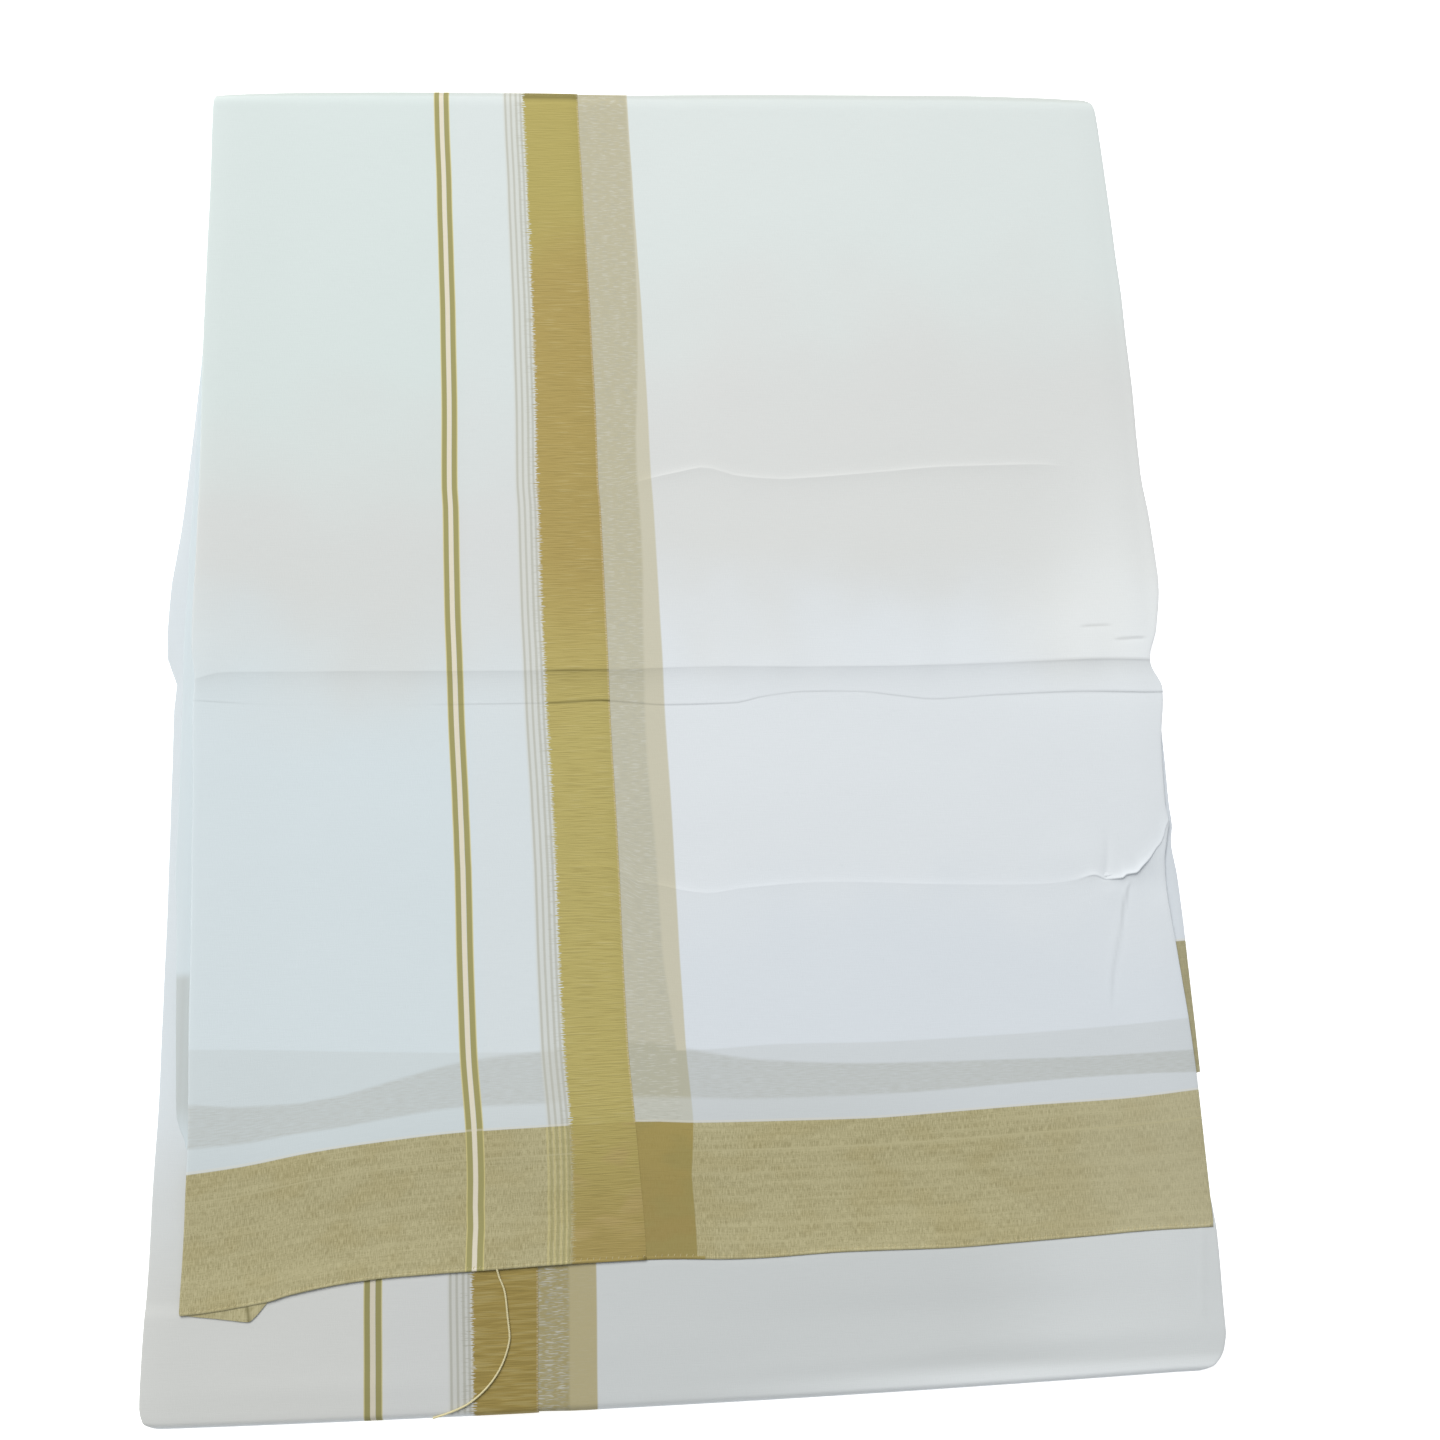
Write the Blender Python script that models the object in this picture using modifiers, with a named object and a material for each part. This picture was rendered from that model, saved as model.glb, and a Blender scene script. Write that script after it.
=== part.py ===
"""A white cotton dhoti with gold borders, folded and laid flat.

The cloth is 1.27 m wide and 3.6 m long. It is doubled selvage to selvage, the selvage side is turned
back over the front as a flap, and the strip is then folded into six lengths of 0.6 m. The lengths
that show are walls of cloth, and the three under them share one rounded core.

The tables are in millimetres and the meshes in metres. X runs across the pack, Y up its length
and Z up from the surface it lies on. The origin is under the middle of the pack.
"""

import math
from collections import namedtuple

import bmesh
import bpy

MM = 0.001

# The pack.
HALF_LENGTH = 301.3
GAP = 0.3
CORE_TOP = 5.4
PLY_WALL = 1.0
SECOND_WALL = 1.3
FLAP_LIFT = 0.6
HEM_WIDTH = 4.0
HEM_WALL = 1.3
RIM_ROUND = 0.35

# Height of each stretch's upper side over the thick, left half of the pack.
LOWER_FACE_TOP = CORE_TOP + GAP + PLY_WALL
LOWER_FLAP_TOP = LOWER_FACE_TOP + GAP + PLY_WALL
SECOND_TOP = LOWER_FLAP_TOP + GAP + SECOND_WALL
FRONT_FACE_TOP = SECOND_TOP + GAP + PLY_WALL
FRONT_FLAP_TOP = FRONT_FACE_TOP + FLAP_LIFT + PLY_WALL

# The front sinks where the lower flap under it ends, and again past the second length's hem.
FLAP_SAG = PLY_WALL + GAP
SAG_LEFT = -62.0
SAG_RIGHT = 8.0
HEM_STEP = SECOND_WALL + GAP
STEP_START = -181.0
STEP_END = -196.0

# The sides of the pack round off over their last few millimetres.
SIDE = 222.0
SIDE_ROUND = 14.0
SIDE_DROP = 1.2

# Hems: the front one hangs lower at its left end and rises at its right end.
FRONT_HEM = -247.0
SECOND_HEM = -180.0
BOW_START = -110.0
BOW_FULL = -190.0
LEFT_BOW = 12.0
LEFT_BOW_FROM = -95.0
LEFT_BOW_TO = -208.0
RIGHT_BOW = 3.5
RIGHT_BOW_FROM = 112.0
RIGHT_BOW_TO = 220.0

# Selvages, the free edges of the flaps.
SELVAGE_AT_FOLD = -41.2
SELVAGE_AT_HEM = -20.5
LOWER_SELVAGE = -64.7

# The front turns down over the top edge, and the lower length over the bottom edge.
NOSE_REACH = 6.0
TOP_NOSE_FOOT = 3.3
BOTTOM_NOSE_FOOT = 0.0
NOSE_TURNS = (25.0, 50.0, 80.0, 110.0, 140.0, 168.0)
NOSE_INSET = 1.5
NOSE_INSET_START = 4.0
NOSE_INSET_RUN = 20.0
FACE_START = 3.5
FLAP_EDGE_DROP = 1.45
FLAP_EDGE_ROUND = 3.2

# Side edges of the stretches at places up the pack.
Edge = namedtuple(
    "Edge", "y front_left front_right second_left second_right lower_left lower_right"
)
EDGES = (
    Edge(301.3, -217.2, 211.0, -216.0, 210.0, -216.0, 210.0),
    Edge(298.0, -218.2, 218.6, -216.5, 216.0, -216.5, 215.0),
    Edge(291.0, -218.5, 222.0, -217.0, 220.0, -217.5, 219.5),
    Edge(235.0, -218.3, 223.8, -217.3, 222.8, -217.5, 222.0),
    Edge(190.0, -218.4, 225.0, -218.0, 224.0, -218.2, 223.5),
    Edge(150.0, -217.4, 225.3, -218.8, 224.5, -219.6, 224.0),
    Edge(100.0, -215.2, 225.2, -219.5, 224.4, -223.5, 224.0),
    Edge(72.0, -215.0, 226.2, -219.7, 225.3, -225.6, 225.0),
    Edge(45.0, -214.7, 228.6, -219.9, 227.6, -228.6, 228.6),
    Edge(20.0, -214.2, 224.3, -220.3, 223.3, -227.8, 224.0),
    Edge(5.0, -213.6, 220.6, -220.0, 219.6, -223.5, 219.6),
    Edge(-8.0, -213.1, 223.4, -219.6, 222.5, -223.3, 222.0),
    Edge(-35.0, -212.4, 222.8, -219.2, 222.0, -223.0, 221.0),
    Edge(-60.0, -211.8, 222.4, -219.0, 221.8, -223.0, 220.6),
    Edge(-68.0, -211.6, 223.4, -218.9, 221.8, -222.8, 220.4),
    Edge(-76.0, -211.4, 219.4, -218.8, 221.3, -222.7, 220.2),
    Edge(-95.0, -210.9, 216.9, -218.6, 222.9, -222.4, 220.0),
    Edge(-122.0, -209.8, 218.4, -218.4, 223.4, -222.2, 219.2),
    Edge(-150.0, -208.7, 219.7, -217.1, 223.4, -222.1, 218.6),
    Edge(-180.0, -207.5, 220.1, -215.5, 223.6, -222.0, 218.2),
    Edge(-192.0, -207.3, 220.5, -215.5, 223.6, -222.0, 218.4),
    Edge(-247.0, -208.1, 220.7, -215.5, 223.6, -220.6, 222.3),
    Edge(-285.0, -208.1, 220.7, -215.5, 223.6, -221.3, 222.4),
    Edge(-293.0, -208.1, 220.7, -215.5, 223.6, -222.0, 221.0),
    Edge(-298.5, -208.1, 220.7, -215.5, 223.6, -220.5, 216.6),
    Edge(-301.3, -208.1, 220.7, -215.5, 223.6, -216.0, 210.0),
)

# Soft rises across the front, where the pack was once folded smaller.
Rise = namedtuple("Rise", "y lift")
RISES = (
    Rise(150.0, 0.0),
    Rise(112.0, 0.1),
    Rise(100.0, 0.7),
    Rise(88.0, 0.1),
    Rise(35.0, 0.2),
    Rise(14.0, 0.6),
    Rise(6.0, 0.0),
    Rise(-1.5, 0.5),
    Rise(-9.0, 0.0),
    Rise(-17.0, 0.6),
    Rise(-35.0, 0.2),
    Rise(-84.0, 0.1),
    Rise(-94.0, 0.7),
    Rise(-104.0, 0.1),
    Rise(-130.0, 0.0),
)

# The three hidden lengths: the heights they fill and how far each reaches.
Layer = namedtuple("Layer", "low high side_inset top_end bottom_end")
CORE_LAYERS = (
    Layer(0.0, 1.5, 1.8, 298.6, -292.0),
    Layer(1.5, 3.0, 1.0, 299.4, -293.4),
    Layer(3.0, CORE_TOP, 2.2, 292.0, -293.0),
)
CORE_CORNER = 8.0
CORE_STRAIGHT = 260.0
CORE_GROOVE = 0.8
CORE_SHOULDER = 6.0
CORE_SHOULDER_DROP = 0.85
CORE_SHOULDER_TOP = 22.0

# The corner of the ply under the flap's hem, which shows past it, turned back on itself.
Corner = namedtuple("Corner", "x y")
TURNED_CORNER = (
    Corner(-206.8, -262.4),
    Corner(-183.0, -264.6),
    Corner(-176.8, -258.2),
    Corner(-182.5, -259.6),
    Corner(-196.0, -262.0),
)
CORNER_WALL = 1.0

# A yarn end that has come out of the front hem, lies over the lower flap and ends on its fold.
Route = namedtuple("Route", "x y z")
THREAD_ROUTE = (
    Route(-81.0, -247.95, 8.85),
    Route(-80.7, -248.9, 8.75),
    Route(-80.3, -250.4, 8.65),
    Route(-79.2, -252.8, 8.6),
    Route(-78.1, -255.5, 8.6),
    Route(-77.5, -259.5, 8.6),
    Route(-77.1, -264.0, 8.6),
    Route(-76.5, -269.0, 8.6),
    Route(-76.0, -273.2, 8.6),
    Route(-76.6, -276.9, 8.6),
    Route(-78.5, -282.4, 8.65),
    Route(-81.6, -287.9, 8.7),
    Route(-86.6, -293.4, 8.7),
    Route(-92.5, -297.6, 8.7),
    Route(-96.3, -299.2, 8.7),
    Route(-100.2, -300.5, 8.6),
    Route(-103.6, -301.5, 8.3),
    Route(-106.9, -302.4, 7.6),
)
THREAD_DIAMETER = 0.8
THREAD_STEP = 2.4

# Where the columns of each sheet lie, as shares of its width from left to right.
FACE_COLUMNS = (0, 0.02, 0.06, 0.2, 0.36, 0.42, 0.5, 0.66, 0.84, 0.94, 0.98, 1)
FLAP_COLUMNS = (0, 0.006, 0.018, 0.07, 0.3, 0.6, 0.85, 1)
SECOND_COLUMNS = (0, 0.02, 0.06, 0.36, 0.42, 0.5, 0.94, 0.98, 1)

# Heights of the rows up each sheet, where it is still flat.
FRONT_ROWS = (
    -236, -214, -197, -188, -180, -164, -150, -128, -104, -94, -84, -76, -68, -56, -36, -17, -9,
    -1.5, 6, 14, 30, 45, 68, 88, 100, 112, 150, 190, 240, 285, HALF_LENGTH - NOSE_REACH,
)
SECOND_ROWS = (SECOND_HEM, -150, -122, -95, -68, -35, -8, 5, 20, 45, 72, 100, 150, 190, 240, 291)
LOWER_ROWS = (
    291, 235, 190, 150, 100, 72, 45, 20, 5, -8, -35, -76, -122, -192, -247, -270, -285,
    NOSE_REACH - HALF_LENGTH,
)
LOWER_FLAP_ROWS = (-200, -222, -247, -270, -285, NOSE_REACH - HALF_LENGTH)

COTTON = (0.72, 0.73, 0.74)
COTTON_SHADE = (0.62, 0.64, 0.66)
ZARI = (0.44, 0.36, 0.15)
YARN = (0.75, 0.66, 0.38)


def ease(share):
    """0 to 1 with a soft start and end."""
    share = min(max(share, 0.0), 1.0)
    return share * share * (3.0 - 2.0 * share)


def read(table, column, y):
    """A table's column at height y, straight between its rows, which run from the top down."""
    if y >= table[0].y:
        return getattr(table[0], column)
    for upper, lower in zip(table, table[1:]):
        if y >= lower.y:
            share = (upper.y - y) / (upper.y - lower.y)
            return getattr(upper, column) * (1.0 - share) + getattr(lower, column) * share
    return getattr(table[-1], column)


def front_selvage(y):
    """The free edge of the front flap, which runs a little askew to the pack."""
    share = (HALF_LENGTH - y) / (HALF_LENGTH - FRONT_HEM)
    return SELVAGE_AT_FOLD + (SELVAGE_AT_HEM - SELVAGE_AT_FOLD) * share


def hem_bow(x, y):
    """How far a row of the front near its hem leaves its straight line."""
    left = LEFT_BOW * max((x - LEFT_BOW_FROM) / (LEFT_BOW_TO - LEFT_BOW_FROM), 0.0) ** 1.6
    right = RIGHT_BOW * max((x - RIGHT_BOW_FROM) / (RIGHT_BOW_TO - RIGHT_BOW_FROM), 0.0) ** 1.5
    return (right - left) * ease((y - BOW_START) / (BOW_FULL - BOW_START))


def side_drop(x):
    """How far everything above the core sinks at the pack's sides."""
    inside = (SIDE - abs(x)) / SIDE_ROUND
    return SIDE_DROP * (1.0 - min(max(inside, 0.0), 1.0)) ** 2


def sag(x):
    """How far the upper stretches sink to the right of the lower flap."""
    return FLAP_SAG * ease((x - SAG_LEFT) / (SAG_RIGHT - SAG_LEFT))


def front_drop(x, y):
    """Sag, the step past the second hem, rounded sides and soft rises, together."""
    reach = y + max(hem_bow(x, y), 0.0)
    step = HEM_STEP * ease((STEP_START - reach) / (STEP_START - STEP_END))
    return sag(x) + side_drop(x) + step - read(RISES, "lift", y)


def nose(top, foot, reach, turn):
    """Outward reach and height of a fold's outside, turned by some degrees from its top."""
    angle = math.radians(turn)
    half = (top - foot) / 2.0
    return reach * math.sin(angle), foot + half + half * math.cos(angle)


def nose_inset(x, selvage):
    """How far a ply's fold lies inside the flap's fold, which ends at the selvage."""
    return NOSE_INSET * (1.0 - ease((x - selvage - NOSE_INSET_START) / NOSE_INSET_RUN))


def front_face_point(share, row, turn):
    edge_y = HALF_LENGTH - NOSE_REACH + NOSE_REACH * math.sin(math.radians(min(turn, 90.0)))
    edge_y = row if turn == 0 else edge_y
    left = read(EDGES, "front_left", edge_y) + FACE_START
    x = left + (read(EDGES, "front_right", edge_y) - left) * share
    top = FRONT_FACE_TOP - front_drop(x, row)
    if turn == 0:
        return x, row + hem_bow(x, row), top
    inset = nose_inset(x, SELVAGE_AT_FOLD)
    out, height = nose(top, TOP_NOSE_FOOT + inset, NOSE_REACH - inset, turn)
    return x, HALF_LENGTH - NOSE_REACH + out, height


def front_flap_point(share, row, turn):
    edge_y = HALF_LENGTH - NOSE_REACH + NOSE_REACH * math.sin(math.radians(min(turn, 90.0)))
    edge_y = row if turn == 0 else edge_y
    left = read(EDGES, "front_left", edge_y)
    width = front_selvage(edge_y) - left
    x = left + width * share
    fold = FLAP_EDGE_DROP * (1.0 - min(width * share / FLAP_EDGE_ROUND, 1.0)) ** 2
    top = FRONT_FLAP_TOP - front_drop(x, row) - fold
    if turn == 0:
        return x, row + hem_bow(x, row), top
    out, height = nose(top, TOP_NOSE_FOOT, NOSE_REACH, turn)
    return x, HALF_LENGTH - NOSE_REACH + out, height


def second_point(share, row, turn):
    left = read(EDGES, "second_left", row)
    x = left + (read(EDGES, "second_right", row) - left) * share
    return x, row, SECOND_TOP - sag(x) - side_drop(x)


def lower_edges(row, turn):
    """Row height to read the lower side edges at, as the fold rounds the corners."""
    if turn == 0:
        return row
    return NOSE_REACH - HALF_LENGTH - NOSE_REACH * math.sin(math.radians(min(turn, 90.0)))


def lower_face_point(share, row, turn):
    edge_y = lower_edges(row, turn)
    left = read(EDGES, "lower_left", edge_y)
    x = left + (read(EDGES, "lower_right", edge_y) - left) * share
    top = LOWER_FACE_TOP - side_drop(x)
    if turn == 0:
        return x, row, top
    inset = nose_inset(x, LOWER_SELVAGE)
    out, height = nose(top, BOTTOM_NOSE_FOOT + inset, NOSE_REACH - inset, turn)
    return x, NOSE_REACH - HALF_LENGTH - out, height


def lower_flap_point(share, row, turn):
    edge_y = lower_edges(row, turn)
    left = read(EDGES, "lower_left", edge_y)
    x = left + (LOWER_SELVAGE - left) * share
    top = LOWER_FLAP_TOP - side_drop(x)
    if turn == 0:
        return x, row, top
    out, height = nose(top, BOTTOM_NOSE_FOOT, NOSE_REACH, turn)
    return x, NOSE_REACH - HALF_LENGTH - out, height


def finish(name, colour, rough, collection):
    """Gives the object just made its name, material and place in the collection."""
    made = bpy.context.view_layer.objects.active
    made.name = name
    made.data.name = name
    material = bpy.data.materials.new(name + "_finish")
    material.use_nodes = True
    shader = material.node_tree.nodes["Principled BSDF"]
    shader.inputs["Base Color"].default_value = (*colour, 1.0)
    shader.inputs["Roughness"].default_value = rough
    shader.inputs["Metallic"].default_value = 0.0
    made.data.materials.clear()
    made.data.materials.append(material)
    for holder in list(made.users_collection):
        holder.objects.unlink(made)
    collection.objects.link(made)
    return made


def add_object(name, mesh):
    made = bpy.data.objects.new(name, mesh)
    bpy.context.scene.collection.objects.link(made)
    bpy.context.view_layer.objects.active = made
    return made


def sheet(name, columns, rows, point, wall, colour, collection):
    """A wall of cloth under a grid whose point() gives the upper side at a column and a row.

    rows is a list of (height, turn) pairs, and its first row is the end that +Y faces away from,
    or for the lower length the end that it faces.
    """
    shape = bmesh.new()
    bmesh.ops.create_grid(shape, x_segments=len(columns) - 1, y_segments=len(rows) - 1, size=0.5)
    last_column = len(columns) - 1
    last_row = len(rows) - 1
    for corner in shape.verts:
        share = columns[round((corner.co.x + 0.5) * last_column)]
        height, turn = rows[round((corner.co.y + 0.5) * last_row)]
        corner.co = [value * MM for value in point(share, height, turn)]
    upward = sum(face.normal.z for face in shape.faces if not face.normal_update())
    if upward < 0:
        bmesh.ops.reverse_faces(shape, faces=shape.faces)
    mesh = bpy.data.meshes.new(name)
    shape.to_mesh(mesh)
    shape.free()
    made = add_object(name, mesh)
    solid = made.modifiers.new("wall", "SOLIDIFY")
    solid.thickness = wall * MM
    solid.offset = -1.0
    solid.use_even_offset = True
    rim = made.modifiers.new("rim", "BEVEL")
    rim.width = RIM_ROUND * MM
    rim.segments = 1
    rim.limit_method = "ANGLE"
    rim.angle_limit = math.radians(55.0)
    mesh.shade_smooth()
    return finish(name, colour, 0.9, collection)


def flat_rows(heights):
    return [(height, 0.0) for height in heights]


def nosed_rows(heights):
    return flat_rows(heights) + [(heights[-1], turn) for turn in NOSE_TURNS]


def hem(name, columns, sheet_point, wall, collection):
    """The narrow turned hem that finishes a ply, just below the end of its sheet."""
    depths = (0.0, HEM_WIDTH * 0.5, HEM_WIDTH)

    def point(share, depth, turn):
        x, y, z = sheet_point(share, FRONT_HEM, 0.0)
        return x, y + depth, z + wall - PLY_WALL

    return sheet(name, columns, flat_rows(depths), point, wall, ZARI, collection)


def core_ring(layer, inset, height):
    """One closed outline of the core, pulled in by inset, at one height."""
    low_end = layer.bottom_end + inset
    high_end = layer.top_end - inset
    side_ys = [edge.y for edge in EDGES if abs(edge.y) < CORE_STRAIGHT]
    pull = layer.side_inset + inset

    def side(column, y):
        sign = 1.0 if column == "lower_left" else -1.0
        return read(EDGES, column, y) + sign * pull

    ring = []
    for centre_y, column, start in (
        (high_end - CORE_CORNER, "lower_left", 180.0),
        (high_end - CORE_CORNER, "lower_right", 90.0),
        (low_end + CORE_CORNER, "lower_right", 0.0),
        (low_end + CORE_CORNER, "lower_left", -90.0),
    ):
        outward = -1.0 if column == "lower_left" else 1.0
        centre_x = side(column, centre_y) - outward * CORE_CORNER
        for quarter in range(4):
            angle = math.radians(start - 30.0 * quarter)
            x = centre_x + CORE_CORNER * math.cos(angle)
            ring.append((x, centre_y + CORE_CORNER * math.sin(angle)))
        if start == 90.0:
            ring += [(side("lower_right", y), y) for y in side_ys]
        if start == -90.0:
            ring += [(side("lower_left", y), y) for y in reversed(side_ys)]
    return [(x * MM, y * MM, height * MM) for x, y in ring]


def hidden_core(collection):
    """The hidden lengths as one solid, with a groove between each two along its edges."""
    rings = []
    for layer in CORE_LAYERS:
        rings.append(core_ring(layer, CORE_GROOVE, layer.low))
        rings.append(core_ring(layer, 0.0, layer.low + 0.5))
        if layer.high < CORE_TOP:
            rings.append(core_ring(layer, 0.0, layer.high - 0.5))
            rings.append(core_ring(layer, CORE_GROOVE, layer.high - 0.05))
        else:
            rings.append(core_ring(layer, CORE_SHOULDER, layer.high - CORE_SHOULDER_DROP))
            rings.append(core_ring(layer, CORE_SHOULDER_TOP, layer.high))
    shape = bmesh.new()
    loops = [[shape.verts.new(place) for place in ring] for ring in rings]
    for lower, upper in zip(loops, loops[1:]):
        for here in range(len(lower)):
            after = (here + 1) % len(lower)
            shape.faces.new((lower[here], lower[after], upper[after], upper[here]))
    shape.faces.new(loops[0])
    shape.faces.new(reversed(loops[-1]))
    bmesh.ops.recalc_face_normals(shape, faces=shape.faces)
    mesh = bpy.data.meshes.new("hidden_core")
    shape.to_mesh(mesh)
    shape.free()
    add_object("hidden_core", mesh)
    mesh.shade_smooth()
    mesh.set_sharp_from_angle(angle=math.radians(40.0))
    return finish("hidden_core", COTTON_SHADE, 0.95, collection)


def turned_corner(collection):
    """A flat plate of doubled cloth that shows past the left end of the front hem."""
    curve = bpy.data.curves.new("turned_corner", "CURVE")
    curve.dimensions = "2D"
    curve.fill_mode = "BOTH"
    curve.extrude = CORNER_WALL * MM / 2.0
    outline = curve.splines.new("POLY")
    outline.points.add(len(TURNED_CORNER) - 1)
    for point, corner in zip(outline.points, TURNED_CORNER):
        point.co = (corner.x * MM, corner.y * MM, 0.0, 1.0)
    outline.use_cyclic_u = True
    made = add_object("turned_corner", curve)
    made.location.z = (FRONT_FACE_TOP - HEM_STEP - PLY_WALL / 2.0) * MM
    return finish("turned_corner", ZARI, 0.8, collection)


def smooth_route(route, step):
    """Places along a smooth curve through the route's points, about one step apart."""
    places = []
    for index in range(len(route) - 1):
        before = route[max(index - 1, 0)]
        start = route[index]
        end = route[index + 1]
        after = route[min(index + 2, len(route) - 1)]
        pieces = max(round(math.dist(start, end) / step), 1)
        for piece in range(pieces):
            share = piece / pieces
            square = share * share
            cube = square * share
            places.append(
                tuple(
                    0.5
                    * (
                        2.0 * b
                        + (c - a) * share
                        + (2.0 * a - 5.0 * b + 4.0 * c - d) * square
                        + (3.0 * b - a - 3.0 * c + d) * cube
                    )
                    for a, b, c, d in zip(before, start, end, after)
                )
            )
    places.append(tuple(route[-1]))
    return places


def loose_thread(collection):
    """The yarn end as one round tube."""
    curve = bpy.data.curves.new("loose_thread", "CURVE")
    curve.dimensions = "3D"
    curve.bevel_depth = THREAD_DIAMETER * MM / 2.0
    curve.bevel_resolution = 2
    curve.use_fill_caps = True
    places = smooth_route(THREAD_ROUTE, THREAD_STEP)
    line = curve.splines.new("POLY")
    line.points.add(len(places) - 1)
    for point, place in zip(line.points, places):
        point.co = (*(value * MM for value in place), 1.0)
    add_object("loose_thread", curve)
    return finish("loose_thread", YARN, 0.6, collection)


def clear_scene():
    for old in list(bpy.data.objects):
        bpy.data.objects.remove(old, do_unlink=True)


clear_scene()
dhoti = bpy.data.collections.new("dhoti")
bpy.context.scene.collection.children.link(dhoti)

first_front_row = FRONT_HEM + HEM_WIDTH + GAP
front_rows = nosed_rows((first_front_row, *FRONT_ROWS))
sheet("front_face", FACE_COLUMNS, front_rows, front_face_point, PLY_WALL, COTTON, dhoti)
sheet("front_flap", FLAP_COLUMNS, front_rows, front_flap_point, PLY_WALL, COTTON, dhoti)
hem("face_hem", FACE_COLUMNS, front_face_point, HEM_WALL, dhoti)
hem("flap_hem", FLAP_COLUMNS, front_flap_point, HEM_WALL, dhoti)
sheet(
    "second_length", SECOND_COLUMNS, flat_rows(SECOND_ROWS), second_point, SECOND_WALL, COTTON, dhoti
)
sheet("lower_face", SECOND_COLUMNS, nosed_rows(LOWER_ROWS), lower_face_point, PLY_WALL, COTTON, dhoti)
sheet(
    "lower_flap", FLAP_COLUMNS, nosed_rows(LOWER_FLAP_ROWS), lower_flap_point, PLY_WALL, COTTON, dhoti
)
hidden_core(dhoti)
turned_corner(dhoti)
loose_thread(dhoti)
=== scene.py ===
import bisect
import math
from collections import namedtuple

import bmesh
import bpy
from mathutils import Matrix, Vector, noise


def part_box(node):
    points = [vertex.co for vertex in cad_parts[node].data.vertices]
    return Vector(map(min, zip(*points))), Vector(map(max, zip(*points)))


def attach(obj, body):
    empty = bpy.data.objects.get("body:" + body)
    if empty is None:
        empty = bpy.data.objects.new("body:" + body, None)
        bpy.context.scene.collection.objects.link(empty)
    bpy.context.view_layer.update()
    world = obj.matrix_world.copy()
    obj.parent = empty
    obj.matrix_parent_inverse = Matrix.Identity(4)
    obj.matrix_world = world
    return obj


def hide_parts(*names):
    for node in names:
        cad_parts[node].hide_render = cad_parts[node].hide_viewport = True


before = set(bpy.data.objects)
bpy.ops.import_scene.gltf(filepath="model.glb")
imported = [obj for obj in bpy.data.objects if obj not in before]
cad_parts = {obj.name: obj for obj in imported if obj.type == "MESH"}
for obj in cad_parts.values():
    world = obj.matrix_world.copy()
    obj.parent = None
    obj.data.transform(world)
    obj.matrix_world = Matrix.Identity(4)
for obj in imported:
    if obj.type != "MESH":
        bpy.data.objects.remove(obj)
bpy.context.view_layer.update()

# The table, the light and the camera.
# The pack lies on a plain white table top, under a wide soft lamp beyond its top edge and an even
# pale glow from all round. The camera stands over it, a little towards its bottom edge.
MM = 0.001
TABLE_SIZE = 6
TABLE_WHITE = (0.93, 0.93, 0.93, 1)
TABLE_GLOW = 0.7
GLOW = (0.94, 0.97, 1, 1)
GLOW_STRENGTH = 0.4
LAMP_PLACE = Vector((-1.2, 2.9, 3.2))
LAMP_SIZE = 3
LAMP_POWER = 209
LAMP_COLOUR = (1, 0.985, 0.955)
CAMERA_PLACE = Vector((-0.0162, -0.14, 0.5831))
CAMERA_AIM = Vector((0.0188, -0.0188, 0.0115))
CAMERA_ROLL = math.radians(14.39)
CAMERA_LENS = 32.5
SENSOR_WIDTH = 36


def new_material(name):
    """A new material, its node tree and its shader."""
    made = bpy.data.materials.new(name)
    made.use_nodes = True
    return made, made.node_tree, made.node_tree.nodes["Principled BSDF"]


def set_inputs(node, values):
    """Give each input of a node its value, or link it to the output that it takes."""
    for name, value in values.items():
        if isinstance(value, bpy.types.NodeSocket):
            node.id_data.links.new(value, node.inputs[name])
        else:
            node.inputs[name].default_value = value


def new_object(name, data):
    made = bpy.data.objects.new(name, data)
    bpy.context.scene.collection.objects.link(made)
    return made


bpy.ops.mesh.primitive_plane_add(size=TABLE_SIZE, location=(0, 0, 0))
table_top = bpy.context.object
table_top.name = "table_top"
table_white, _, table_shader = new_material("table_white")
set_inputs(table_shader, {
    "Base Color": TABLE_WHITE,
    "Roughness": 0.9,
    "Emission Color": (1, 1, 1, 1),
    "Emission Strength": TABLE_GLOW,
})
table_top.data.materials.append(table_white)

glow = bpy.data.worlds.new("glow")
glow.use_nodes = True
set_inputs(glow.node_tree.nodes["Background"], {"Color": GLOW, "Strength": GLOW_STRENGTH})
bpy.context.scene.world = glow

lamp_data = bpy.data.lights.new("soft_lamp", "AREA")
lamp_data.shape = "DISK"
lamp_data.size = LAMP_SIZE
lamp_data.energy = LAMP_POWER
lamp_data.color = LAMP_COLOUR
lamp = new_object("soft_lamp", lamp_data)
lamp.location = LAMP_PLACE
lamp.rotation_euler = (-LAMP_PLACE).to_track_quat("-Z", "Y").to_euler()

camera_data = bpy.data.cameras.new("camera")
camera_data.lens = CAMERA_LENS
camera_data.sensor_width = SENSOR_WIDTH
camera_data.clip_start = 0.01
camera = new_object("camera", camera_data)
looking = (CAMERA_AIM - CAMERA_PLACE).to_track_quat("-Z", "Y").to_matrix().to_4x4()
camera.matrix_world = (
    Matrix.Translation(CAMERA_PLACE) @ looking @ Matrix.Rotation(CAMERA_ROLL, 4, "Z")
)
bpy.context.scene.camera = camera
bpy.context.scene.view_settings.view_transform = "Standard"

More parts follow.
